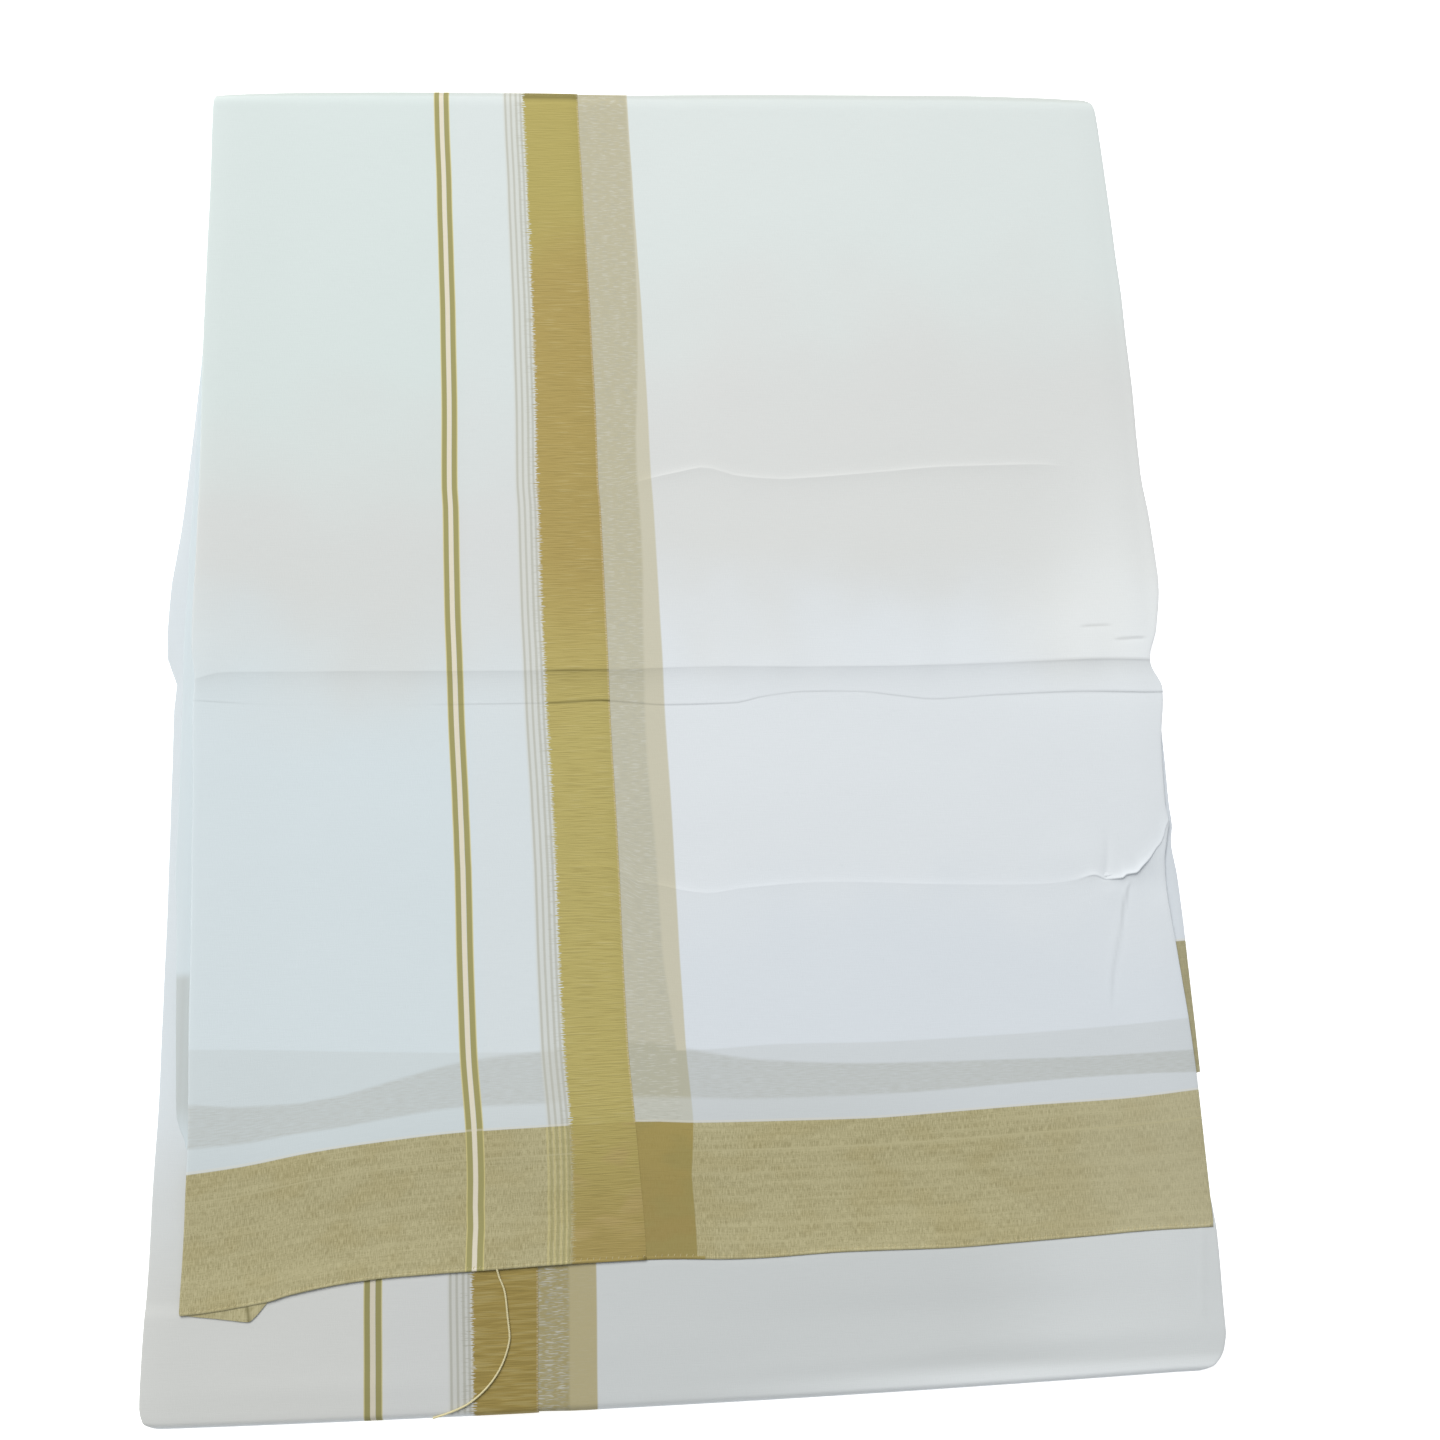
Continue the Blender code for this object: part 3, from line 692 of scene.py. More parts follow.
def cloth_mesh(name, grids, material, closed):
    """A mesh through grids of spots, each a list of rows that each list their columns. Where
    closed is set, the rows are rings and the first and the last are capped."""
    shape = bmesh.new()
    cloth_map = shape.loops.layers.uv.new("cloth")
    under_map = shape.loops.layers.uv.new("under")
    crease_layer = shape.verts.layers.float.new("crease")
    tuck_layer = shape.verts.layers.float.new("tuck")
    spots = {}
    for grid in grids:
        corners = []
        for row in grid:
            line = []
            for here in row:
                corner = shape.verts.new((here.x * MM, here.y * MM, here.z * MM))
                corner[crease_layer] = here.crease
                corner[tuck_layer] = here.tuck
                spots[corner] = here
                line.append(corner)
            corners.append(line)
        columns = len(corners[0])
        for first, second in zip(corners, corners[1:]):
            for i in range(columns if closed else columns - 1):
                after = (i + 1) % columns
                shape.faces.new((first[i], first[after], second[after], second[i]))
        if closed:
            shape.faces.new(corners[0])
            shape.faces.new(reversed(corners[-1]))
    for face in shape.faces:
        for loop in face.loops:
            here = spots[loop.vert]
            loop[cloth_map].uv = (here.inward, here.upward)
            loop[under_map].uv = (here.beyond, here.wave)
    bmesh.ops.recalc_face_normals(shape, faces=shape.faces)
    mesh = bpy.data.meshes.new(name)
    shape.to_mesh(mesh)
    shape.free()
    mesh.materials.append(material)
    mesh.shade_smooth()
    return new_object(name, mesh)


def make_cloth(name, grid, wall, material):
    """A shell of cloth, of the given wall, round a grid of spots."""
    made = cloth_mesh(name, [grid], material, False)
    thick = made.modifiers.new("wall", "SOLIDIFY")
    thick.thickness = wall * MM
    thick.offset = 0
    graph = bpy.context.evaluated_depsgraph_get()
    shell = bpy.data.meshes.new_from_object(
        made.evaluated_get(graph), preserve_all_data_layers=True, depsgraph=graph
    )
    made.modifiers.clear()
    flat = made.data
    made.data = shell
    bpy.data.meshes.remove(flat)
    shell.name = name
    shell.set_sharp_from_angle(angle=SHARP_FOLD)
    return made


def fold_groove(x, y):
    """How deep the old cross folds are pressed into the underside."""
    depth = 0
    for fold in OLD_FOLDS:
        far = (y - fold.y - wander(x, fold.seed, fold.wave)) / fold.half
        depth += fold.deep * math.exp(-(far**2)) * (ease(x / fold.fades) if fold.fades else 1)
    return depth


def hidden_layer(layer, seed):
    """One flat rounded layer as rings up the pack, from its bottom end to its top end."""
    near_end = [0, 0.08, 0.2, 0.42, 1, 2.2, 4, 6.5, LAYER_CORNER, 15, 24]
    fine = [-96, -93, -90, -87, -84, 1, 3, 5, 7, 9, 94, 96.5, 99, 102]
    low_end, high_end = layer.bottom_end, layer.top_end
    places = [low_end + d for d in near_end] + [high_end - d for d in reversed(near_end)]
    places = sorted(places + fine + spread(low_end + 32, high_end - 32, 8))
    across = spread(0, 1, 0.02 if seed == 0 else 0.04)
    rings = []
    for y in places:
        deep = min(y - low_end, high_end - y)
        rim = 1 - min(deep / LAYER_ROUND, 1)
        swell = max(math.sqrt(max(1 - rim * rim, 0)), 0.12)
        turned = max(LAYER_CORNER - deep, 0)
        corner = LAYER_CORNER - math.sqrt(LAYER_CORNER**2 - turned**2)
        left = edge_tracks["lower_left"](y) + layer.inset + corner
        left += wander(y, seed + 1, LAYER_WOBBLE)
        right = edge_tracks["lower_right"](y) - layer.inset - corner
        right += wander(y, seed + 2, LAYER_WOBBLE)
        half = (layer.high - layer.low) / 2
        middle = (layer.high + layer.low) / 2
        ring = []
        low_x, high_x = left + half, right - half
        for side, start, end in ((-1, low_x, high_x), (1, high_x, low_x)):
            for share in across:
                x = start + (end - start) * share
                z = middle + side * half * swell
                z += fold_groove(x, y) if seed == 0 and side < 0 else 0
                ring.append((x, z))
            for turn in (-45, 0, 45):
                angle = math.radians(turn)
                x = end - side * half * math.cos(angle)
                ring.append((x, middle - side * half * swell * math.sin(angle)))
        moved = []
        for x, z in ring:
            share = max(1 - deep / 30, 0)
            place_y = y + wander(x, seed + 3, LAYER_WOBBLE * 1.5) * share
            z -= LAYER_DROOP * side_drop(x) * (z / HIDDEN_LAYERS[-1].high) ** 2
            moved.append(Spot(x, place_y, z, front_selvage(y) - x, NO_HEM + y))
        rings.append(moved)
    return rings


hidden_cloth = dhoti_cloth("hidden_cotton", (), (FACE_TONES[:1], FLAP_TONES[:1]), 0.97)
hidden_grids = [hidden_layer(layer, number * 5) for number, layer in enumerate(HIDDEN_LAYERS)]
hidden_lengths = cloth_mesh("hidden_lengths", hidden_grids, hidden_cloth, True)
hidden_lengths.data.set_sharp_from_angle(angle=SHARP_FOLD)
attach(hidden_lengths, "root")
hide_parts("hidden_core")

# The lower length.
# One doubled length of the cotton, face up, with its selvage side turned back over it from the
# left fold. It goes down over the pack's bottom edge in a round fold. Its woven border lies in the
# flap, and the border of the ply below shows through to the right of it.
LOWER_SELVAGE = -64.7
# LOWER_PAINTED_DIM is painted shade: the whole lower length is painted darker where it lies low in
# the pack.
LOWER_PAINTED_DIM = 0.84
# The lower length's show-through strips are darker than the front's, partly as painted shade where
# the length lies low.
LOWER_RIBBED = (0.394, 0.34, 0.168, 1)
LOWER_CREAM = (0.484, 0.43, 0.251, 1)
LOWER_WHITE = (0.665, 0.695, 0.7, 1)
LOWER_LEFT = (0.7, 0.712, 0.695, 1)
# SIDE_LIT_WHITE is painted light: where the lower length's sides peek out along the pack's edges,
# they are painted a brighter bluish white.
SIDE_LIT_WHITE = (0.77, 0.83, 0.87, 1)
LOWER_TONES = (
    (Tone(LOWER_WHITE, 1160, 60), Tone(SIDE_LIT_WHITE, 0, 0)),
    (Tone(LOWER_LEFT, 1150, 60), Tone(SIDE_LIT_WHITE, 0, 0)),
)
LOWER_STRIPS = (
    Stripe(-3, 12.6, 0.8, LOWER_RIBBED, 1),
    Stripe(12.6, 24, 0.4, LOWER_CREAM, 1),
)
LOWER_REACH = 3.2
LOWER_END = HALF_LENGTH - LOWER_REACH
BORDER_LEAN = 1.2
BOTTOM_BOW = 2.15
BOW_MIDDLE = -15
BOW_HALF = 215
BOW_START = -200
BOW_RUN = 95
PRESSED = 0.55
PRESSED_RUN = 3.7
SELVAGE_PRESS = 0.36
SELVAGE_RUN = 3.5
FOLD_HIGHLIGHT = 1
SELVAGE_EASE = 16
LOWER_TUCK = 6
LOWER_TURN = 0.09
# Where the front hem lies, y at each x.
HEM_LINE = track(
    (-215, -259), (-208.5, -258.8), (-200, -258.4), (-193, -257.7), (-183.4, -256.4),
    (-173, -254.9), (-165, -252.9), (-139, -249.2), (-122, -248), (-95, -247.3), (-60, -246.4),
    (-19, -246.2), (27, -247.7), (64, -246.9), (108, -247.2), (162, -245.4), (199, -244.2),
    (226, -243.9),
)
NOSE_TURNS = (0, 12, 24, 36, 48, 60, 72, 84, 96, 110, 124, 138, 152, 166)
PLY_STEP = 0.5
FOLD_TURNS = (0, 36, 72, 108, 144, 180)
lower_face_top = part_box("lower_face")[1][2] / MM
lower_flap_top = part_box("lower_flap")[1][2] / MM
Section = namedtuple("Section", "left right selvage flap_steps face_places under_steps tuck")


def even_places(steps):
    """A function that puts the steps, from 0 to 1, between two places."""
    return lambda start, end: [start + (end - start) * share for share in steps]


def fold_across(section, face_z, flap_z, under_z):
    """The places across one folded length at one height up the pack, from the selvage round the
    left fold, over the face, round the right fold and back under. Each is (part, x, z)."""
    left, right = section.left, section.right
    places = []
    radius = abs(flap_z(left) - face_z(left)) / 2
    start = left + radius
    for share in section.flap_steps:
        x = section.selvage + (start - section.selvage) * share
        places.append(("flap", x, flap_z(x)))
    middle = (flap_z(start) + face_z(start)) / 2
    swing = (flap_z(start) - face_z(start)) / 2
    for turn in FOLD_TURNS[1:-1]:
        angle = math.radians(turn)
        places.append(("fold", start - radius * math.sin(angle), middle + swing * math.cos(angle)))
    small = (face_z(right) - under_z(right)) / 2
    finish = right - small
    for x in section.face_places(start, finish):
        places.append(("face", x, face_z(x)))
    middle = (face_z(finish) + under_z(finish)) / 2
    for turn in FOLD_TURNS[1:-1]:
        angle = math.radians(turn)
        places.append(("turn", finish + small * math.sin(angle), middle + small * math.cos(angle)))
    for share in section.under_steps:
        x = finish + (start + section.tuck - finish) * share
        places.append(("under", x, under_z(x)))
    return places


LOWER_ROWS = joined(
    spread(HALF_LENGTH - 12, -150, 12),
    spread(-150, -236, 6),
    spread(-236, -LOWER_END, 2.4),
)
LOWER_FLAP_STEPS = joined(spread(0, 0.012, 0.012), spread(0.012, 1, 0.03))
LOWER_FACE = even_places(
    joined(spread(0, 0.04, 0.006), spread(0.04, 0.94, 0.014), spread(0.94, 1, 0.003))
)
LOWER_UNDER_STEPS = joined(spread(0, 0.04, 0.01), spread(0.04, 1, 0.06))

# Soft waves across the bottom of the lower length, each with its middle and its reach.
Swell = namedtuple("Swell", "x y across along height")
LOWER_SWELLS = (
    Swell(150, -285, 70, 5, 0.4),
    Swell(60, -289, 60, 4, 0.25),
    Swell(203, -262, 10, 24, 0.25),
    Swell(100, -270, 90, 7, -0.3),
    Swell(-20, -276, 40, 9, 0.18),
    Swell(-150, -288, 60, 5, 0.25),
    Swell(-190, -264, 20, 10, -0.2),
)

# A crease runs through its points, each (along, across, how strong it is there), and upright ones
# run up the pack. It stands above high on the side above or to the right of its line and fades
# over above_reach, and the same below or to the left. Its mark is how dark its crushed yarns and
# the painted shade along its line are.
Crease = namedtuple("Crease", "upright above above_reach below below_reach mark points")
LOWER_CREASES = (
    Crease(True, 0.05, 1.5, 0.28, 1.6, 0, (
        (-282, 213.6, 0), (-276, 214.3, 1), (-252, 217.2, 1), (-244, 218, 0.6),
    )),
)
CREASE_CREST = 0.8
MARK_WIDTH = 0.55


def bottom_bow(x, y):
    """How far the bottom fold bows out past its ends."""
    bow = BOTTOM_BOW * max(1 - ((x - BOW_MIDDLE) / BOW_HALF) ** 2, 0)
    return bow * ease((BOW_START - y) / BOW_RUN)


def selvage_press(inward):
    """How far a flap's selvage is pressed into the ply below it."""
    return SELVAGE_PRESS * ease(1 - inward / SELVAGE_RUN)


def swelling(swells, x, y):
    total = 0
    for swell in swells:
        far = ((x - swell.x) / swell.across) ** 2 + ((y - swell.y) / swell.along) ** 2
        if far < 9:
            total += swell.height * math.exp(-far)
    return total


def ripple(x, y, seed, size):
    """The slight unevenness of cloth that has been handled."""
    broad = noise.noise(Vector((x * 0.021, y * 0.027, seed)))
    fine = noise.noise(Vector((x * 0.06, y * 0.075, seed + 5)))
    return size * (broad + 0.35 * fine)


def crease_line(crease):
    return track(*((along, across) for along, across, _ in crease.points))


def with_lines(creases):
    """Each crease with its line and its force, as smooth curves along it."""
    found = []
    for crease in creases:
        force = track(*((along, force) for along, _, force in crease.points))
        found.append((crease, crease_line(crease), force))
    return found


def creased(lines, x, y):
    """The height that the creases add at a point, and how much crushed yarns and painted crease
    shade darken it there.
    """
    height = 0
    mark = 0
    for crease, line, force_at in lines:
        along, across = (y, x) if crease.upright else (x, y)
        uneven = noise.noise(Vector((along * 0.055, line(0), 4)))
        force = force_at(along) * (1 + 0.45 * uneven)
        if force == 0:
            continue
        far = across - line(along)
        if abs(far) > 4 * max(crease.above_reach, crease.below_reach):
            continue
        far /= math.hypot(1, line(along + 0.5) - line(along - 0.5))
        side = ease(far / CREASE_CREST + 0.5)
        lift = crease.above * math.exp(-max(far, 0) / crease.above_reach) * side
        lift += crease.below * math.exp(min(far, 0) / crease.below_reach) * (1 - side)
        height += force * lift
        mark = max(mark, crease.mark * force * math.exp(-((far / MARK_WIDTH) ** 2)))
    return height, min(mark, 1)


def top_of_plies(x, selvage, face_z, flap_z):
    """The height of the flap, or of the face where it eases down beside the flap's selvage."""
    past = ease((x - selvage) / SELVAGE_EASE)
    return face_z(x) + PLY_STEP * (1 - past) if x > selvage else flap_z(x)


def round_end(z, deep, reach, foot, turn):
    """How far out a point of the round fold at the pack's end is, and its height, where the fold
    has turned so many degrees. The point lies deep below the top ply."""
    angle = math.radians(turn)
    foot = foot + CLOTH_WALL / 2 + deep
    half = (z - foot) / 2
    out = (reach - CLOTH_WALL / 2 - deep) * math.sin(angle)
    return out, foot + half + half * math.cos(angle)


def lower_highlight(x, y, place_y, turn):
    """How much painted highlight pales the lower length: on its bottom fold, along it to the right,
    and over its right side."""
    on_fold = FOLD_HIGHLIGHT * ease((turn - 10) / 40)
    by_fold = 0.9 * ease((x + 20) / 170) * ease((-290 - place_y) / 10)
    on_right = 0.26 * ease((x - 105) / 70) * ease((-200 - y) / 20)
    return max(on_right, by_fold, on_fold)


lower_lines = with_lines(LOWER_CREASES)


def lower_length_grid():
    grid = []
    rows = [(y, 0) for y in LOWER_ROWS] + [(LOWER_ROWS[-1], turn) for turn in NOSE_TURNS[1:]]
    for y, turn in rows:
        edge_y = y - LOWER_REACH * math.sin(math.radians(min(turn, 90)))
        left = edge_tracks["lower_left"](edge_y) + CLOTH_WALL / 2 + wander(edge_y, 31, 0.3)
        right = edge_tracks["lower_right"](edge_y) - CLOTH_WALL / 2 + wander(edge_y, 33, 0.3)
        selvage = LOWER_SELVAGE + wander(edge_y, 35, 0.3)
        section = Section(
            left, right, selvage, LOWER_FLAP_STEPS, LOWER_FACE, LOWER_UNDER_STEPS, LOWER_TUCK
        )

        def face_z(x):
            surface = swelling(LOWER_SWELLS, x, y) + ripple(x, y, 3, 0.12)
            surface += creased(lower_lines, x, y)[0]
            surface -= PRESSED * ease((y - HEM_LINE(x) - 0.3) / PRESSED_RUN)
            return lower_face_top - side_drop(x) - CLOTH_WALL / 2 + surface

        def flap_z(x):
            near_fold = ease((selvage - x) / (selvage - left))
            rise = lower_flap_top - lower_face_top
            lift = PLY_STEP + (rise - PLY_STEP) * near_fold
            return face_z(x) + lift - selvage_press(selvage - x)

        def under_z(x):
            return face_z(x) - PLY_STEP

        row = []
        for part, x, z in fold_across(section, face_z, flap_z, under_z):
            place_y = y - bottom_bow(x, y)
            if turn:
                deep = top_of_plies(x, selvage, face_z, flap_z) - z
                out, z = round_end(z, deep, LOWER_REACH, 0, turn)
                place_y -= out
            cloth_y = y - turn * LOWER_TURN
            inward = PLAIN_FROM + x
            if part in ("flap", "fold"):
                inward = selvage - x
                inward += BORDER_LEAN * ease((-250 - y) / 50) * min(inward / GOLD_BAND, 1)
            beyond = x - selvage if part == "face" else -PLAIN_FROM
            painted_highlight = lower_highlight(x, y, place_y, turn)
            row.append(Spot(x, place_y, z, inward, NO_HEM + cloth_y, beyond, crease=-painted_highlight))
        grid.append(row)
    return grid


lower_cloth = dhoti_cloth("lower_cotton", LOWER_STRIPS, LOWER_TONES, LOWER_PAINTED_DIM, 0.25)
lower_length = make_cloth("lower_length", lower_length_grid(), CLOTH_WALL, lower_cloth)
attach(lower_length, "root")
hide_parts("lower_face", "lower_flap")

# The second length.
# The cloth's other end, tucked under the front. Only its two folded sides come out from under it:
# the gold end band shows on the right, and on the left only through the ply over it.
SECOND_HEM = -180
SECOND_STRIP = 30
STRIP_DROP = 1.4
# SECOND_SHADE is painted shade, laid through the crease attribute on the second length's end band
# where it lies in shade beside the front.
SECOND_SHADE = 0.35
FLAP_SAG = 1.3
SAG_LEFT = -62
SAG_RIGHT = 8
# How far up the wave's band a place on the left edge is, at each y.
STRIP_WAVE = track((-180, -0.06), (-166, 0.03), (-150, 0.3), (-124.5, 0.94), (-120.5, 1.06))
SECOND_CORNER = 5
SECOND_LAP = 70
SECOND_TUCK = 80
SECOND_HEM_RUN = 70
second_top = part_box("second_length")[1][2] / MM
SECOND_ROWS = joined(spread(292, 110, 14), spread(110, SECOND_HEM, 4))
SECOND_FACE = even_places(joined(
    spread(0, 0.06, 0.006), spread(0.06, 0.38, 0.08), spread(0.38, 0.56, 0.03),
    spread(0.56, 0.92, 0.08), spread(0.92, 1, 0.005),
))
SECOND_EDGE = track(
    (-218, -194.6), (-207, -194.2), (-183, -192.8), (-166, -190.3), (-147, -188.3), (-123, -184.9),
    (-95, -182), (-60, -181.7), (-23, -180.8), (30, -183.7), (131, -184), (226, -185.2),
)
SECOND_UNDER = joined(spread(0, 0.06, 0.01), spread(0.06, 1, 0.1))
SECOND_SWELLS = (
    Swell(219, -108, 4, 14, -0.5),
    Swell(210, -97, 12, 11, -0.4),
)


def sag(x):
    return FLAP_SAG * ease((x - SAG_LEFT) / (SAG_RIGHT - SAG_LEFT))


def second_length_grid():
    grid = []
    for y in SECOND_ROWS:
        left = edge_tracks["second_left"](y) + CLOTH_WALL / 2 + wander(y, 41, 0.3)
        right = edge_tracks["second_right"](y) - CLOTH_WALL / 2 + wander(y, 43, 0.3)
        flap_steps = spread(0, 1, 0.2)
        section = Section(
            left, right, left + SECOND_LAP, flap_steps, SECOND_FACE, SECOND_UNDER, SECOND_TUCK
        )
        near_hem = ease((SECOND_HEM + SECOND_HEM_RUN - y) / SECOND_HEM_RUN)

        def face_z(x):
            surface = ripple(x, y, 9, 0.1) + swelling(SECOND_SWELLS, x, y)
            on_strip = ease((left + SECOND_STRIP - x) / SECOND_STRIP)
            surface -= STRIP_DROP * on_strip * ease((-120 - y) / 60)
            return second_top - sag(x) - side_drop(x) - CLOTH_WALL / 2 + surface

        def below_z(x):
            return face_z(x) - PLY_STEP

        row = []
        for part, x, z in fold_across(section, face_z, below_z, below_z):
            on_left = x < left + SECOND_STRIP
            place_y = y + (SECOND_EDGE(x) - SECOND_HEM) * near_hem
            place_y += SECOND_CORNER * ease((x - 214) / 8) * near_hem
            upward = NO_HEM if on_left else y - SECOND_HEM
            wave = STRIP_WAVE(y) if on_left else NO_WAVE
            # Painted shade on the end band.
            shade = SECOND_SHADE if upward < END_BAND else 0
            row.append(Spot(x, place_y, z, PLAIN_FROM + x, upward, wave=wave, crease=shade))
        grid.append(row)
    return grid


second_cloth = dhoti_cloth("second_cotton", (), (FACE_TONES[:1], FLAP_TONES[:1]), 0.98)
second_length = make_cloth("second_length_cloth", second_length_grid(), CLOTH_WALL, second_cloth)
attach(second_length, "root")
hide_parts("second_length")

# The front length.
# The length on top, doubled like the others, with its selvage side turned back from the left fold
# as a flap. It goes down over the top edge in a round fold and ends in the hem with the gold end
# band. Old folds and handling have left creases across it.
HEM_STEP = 2.5
# How much more than its step the front settles towards its hem, at each x.
HEM_SETTLE = track(
    (-205, 0.1), (-150, 0.35), (-90, 0.7), (-50, 1), (-30, 0.7), (-10, 0.28), (5, 0.05), (12, 0),
)
STEP_START = 1
STEP_RUN = 52
TOP_NOSE_FOOT = 3.3
# How far the top fold reaches past the last row, at each x.
TOP_REACH = track(
    (-217, 6.8), (-205, 7.8), (-175, 9.3), (-120, 9.9), (-20, 9.5), (10, 10), (60, 10.5),
    (150, 10.4), (185, 9.6), (200, 9), (212, 8.2),
)
FULL_REACH = 10
# Where the end band stops, where the band of the end tucked in below stops, which shows as a
# wave, and where that end's edge shows, all y at each x.
BAND_LINE = track(
    (-207.7, -204.4), (-186, -202.2), (-158, -197.8), (-132, -194.9), (-94, -192.1), (-60, -191.4),
    (-23, -190.9), (4, -192.4), (40, -193.1), (76, -193.5), (112, -192.3), (149, -190.9),
    (186, -189.9), (220.3, -187.4),
)
WAVE_TOP = track(
    (-218, -176), (-207, -176.7), (-187, -178.3), (-170, -178.2), (-148, -175.8), (-123, -169.9),
    (-95, -163.6), (-62, -160.6), (-22, -158.2), (0, -162), (31, -167.6), (86, -171), (169, -171.6),
    (226, -170.3),
)
TUCK_LINE = track(
    (-208, -154.4), (-187, -155.2), (-138, -157.9), (-92, -160), (-40, -161.5), (5, -162.5),
    (40, -161.4), (83, -162.1), (136, -161.1), (180, -159.5), (220.5, -157),
)
# How much narrower the wave is at its foot, at each x.
WAVE_NARROWS = track((70, 0), (90, 0.2), (134, 2.2), (177, 4.4), (204, 5.2))
# How wide the ribbed part of the strip beside the selvage is at each y.
RIBBED_WIDTH = track(
    (-161, 20.5), (-149, 19.5), (-119, 17.1), (-76, 16.4), (-36, 15.2), (20, 16.3), (63, 18),
    (112, 18.2), (163, 21.6), (216, 23.6), (271, 24.2),
)
RIBBED_END = 18
STRIP_END = 24.6
# How wide the whole strip is at each y.
STRIP_REACH = track((-247, 21.2), (-215, 21.6), (-203, 23.2), (-191, 24.6))
FRONT_STRIPS = (
    Stripe(-3, RIBBED_END, 0.9, THROUGH_RIBBED, 1),
    Stripe(RIBBED_END, STRIP_END, 0.4, THROUGH_CREAM, 1),
)
HIGH_CREASE = Crease(False, 1.2, 30, 1.2, 5.5, 0.8, (
    (-213, 5, 0.6), (-200, 7.9, 0.6), (-150, 7.4, 0.6), (-90, 6.2, 0.75), (-35, 5.6, 0.82),
    (11, 6.5, 0.87), (60, 5.4, 0.95), (107, 4.9, 1.04), (146, 5.3, 1), (196, 6.1, 1.15),
    (222, 5.3, 1.15),
))
LOW_CREASE = Crease(False, 0.05, 2, -0.14, 3, 1, (
    (-213, -4.6, 0.4), (-206, -5.2, 0.5), (-193, -6.2, 0.35), (-182, -6.9, 0.05),
    (-112, -8.7, 0.05), (-100, -8.8, 0.5), (-59, -9.1, 0.8), (-36, -8.3, 0.9), (-4, -10.8, 1.3),
    (25, -10.6, 1), (40, -7.7, 0.8), (58, -6, 0.7), (83, -6.6, 0.7), (102, -9.1, 0.75),
    (118, -10.9, 0.8), (145, -9.7, 0.8), (184, -8.9, 1.15), (216, -9.9, 1.4),
))
RIDGE = Crease(False, 0.35, 1.5, 0.38, 4, 0, (
    (-22, 94, 0), (-13, 97.2, 0.6), (5, 101.4, 1), (15, 103.3, 1), (33, 98.6, 1), (53, 97, 1),
    (73, 98, 1), (103, 100.2, 1), (133, 102.3, 1), (175, 102.8, 0.8), (190, 101.5, 0), (222, 92, 0),
))
WRINKLE = Crease(False, 0.26, 1.8, 0.24, 6, 0, (
    (-60, -82, 0), (-30, -83.8, 0.8), (-23, -89.3, 1), (-10, -91.9, 1), (2.5, -94.9, 1),
    (12, -96, 1), (26, -94.3, 1), (60, -92.7, 1), (119, -95.5, 1), (157, -96.6, 1), (176, -95.5, 1),
    (184, -93.4, 0.8), (189.8, -95.4, 0), (196.4, -95.1, 0), (198.7, -93.6, 0), (203.1, -93, 0),
    (206, -90.4, 0), (210.3, -86.4, 0), (213.1, -82.7, 0), (216.7, -78.7, 0), (220, -70, 0),
))
CURL = Crease(False, 0.45, 1.6, 0.2, 1.5, 0.03, (
    (174, -95.7, 0), (184, -93.4, 1), (189.8, -95.4, 1.6), (196.4, -95.1, 3), (198.7, -93.6, 3),
    (203.1, -93, 3), (206, -90.4, 3), (210.3, -86.4, 2), (213.1, -82.7, 1.5), (216.7, -78.7, 1.2),
    (220, -70, 1),
))
FRONT_CREASES = (
    HIGH_CREASE,
    LOW_CREASE,
    RIDGE,
    WRINKLE,
    CURL,
    Crease(True, -0.32, 1.6, 0.3, 1.8, 1, (
        (-154, 185.6, 0), (-138.7, 187.9, 0.9), (-125.4, 191.4, 1.1), (-118.8, 193.5, 1),
        (-114.8, 194.4, 1), (-108.8, 195.4, 1.2), (-104.1, 197.3, 1.3), (-100.1, 198.7, 1),
        (-97, 199.5, 0),
    )),
    Crease(True, -0.45, 1.8, -0.45, 1.8, 0.2, (
        (-96.5, 189, 0), (-94.5, 189.2, 1), (-84.2, 191.2, 1), (-74, 192, 0),
    )),
    Crease(False, 0, 1, -0.3, 1.3, 0.8, (
        (203, 15.4, 0), (208.5, 15.6, 1), (216, 16, 1), (219, 16, 0),
    )),
    Crease(False, 0, 1, -0.14, 1.3, 0.3, (
        (187, 21.9, 0), (192, 22.1, 1), (200, 22.3, 1), (204, 22.3, 0),
    )),
    Crease(True, -0.18, 1.8, -0.18, 1.8, 0.1, (
        (0, -205.2, 0), (6, -205, 1), (30, -204.2, 1), (40, -204, 0),
    )),
)
FRONT_SWELLS = (
    Swell(-206, 14, 10, 16, 0.4),
    Swell(206, 40, 16, 22, 0.45),
    Swell(180, -84, 18, 8, 0.25),
    Swell(192.5, -101.5, 5.5, 5, 0.35),
    Swell(213.5, -97.5, 9, 8, -0.7),
    Swell(120, 60, 90, 26, 0.3),
    Swell(60, -50, 110, 26, 0.25),
    Swell(-130, 60, 70, 30, 0.25),
    Swell(-120, -60, 60, 34, 0.22),
    Swell(206, -150, 12, 30, 0.25),
    Swell(100, 200, 100, 60, 0.2),
    Swell(-120, 220, 80, 60, 0.2),
)
# Painted highlights on the face near its right side, paling it where the light falls brighter.
HIGHLIGHT_PATCHES = (
    Swell(208, 24, 50, 36, 0.33),
    Swell(216, 78, 30, 40, 0.12),
)
front_lines = with_lines(FRONT_CREASES)

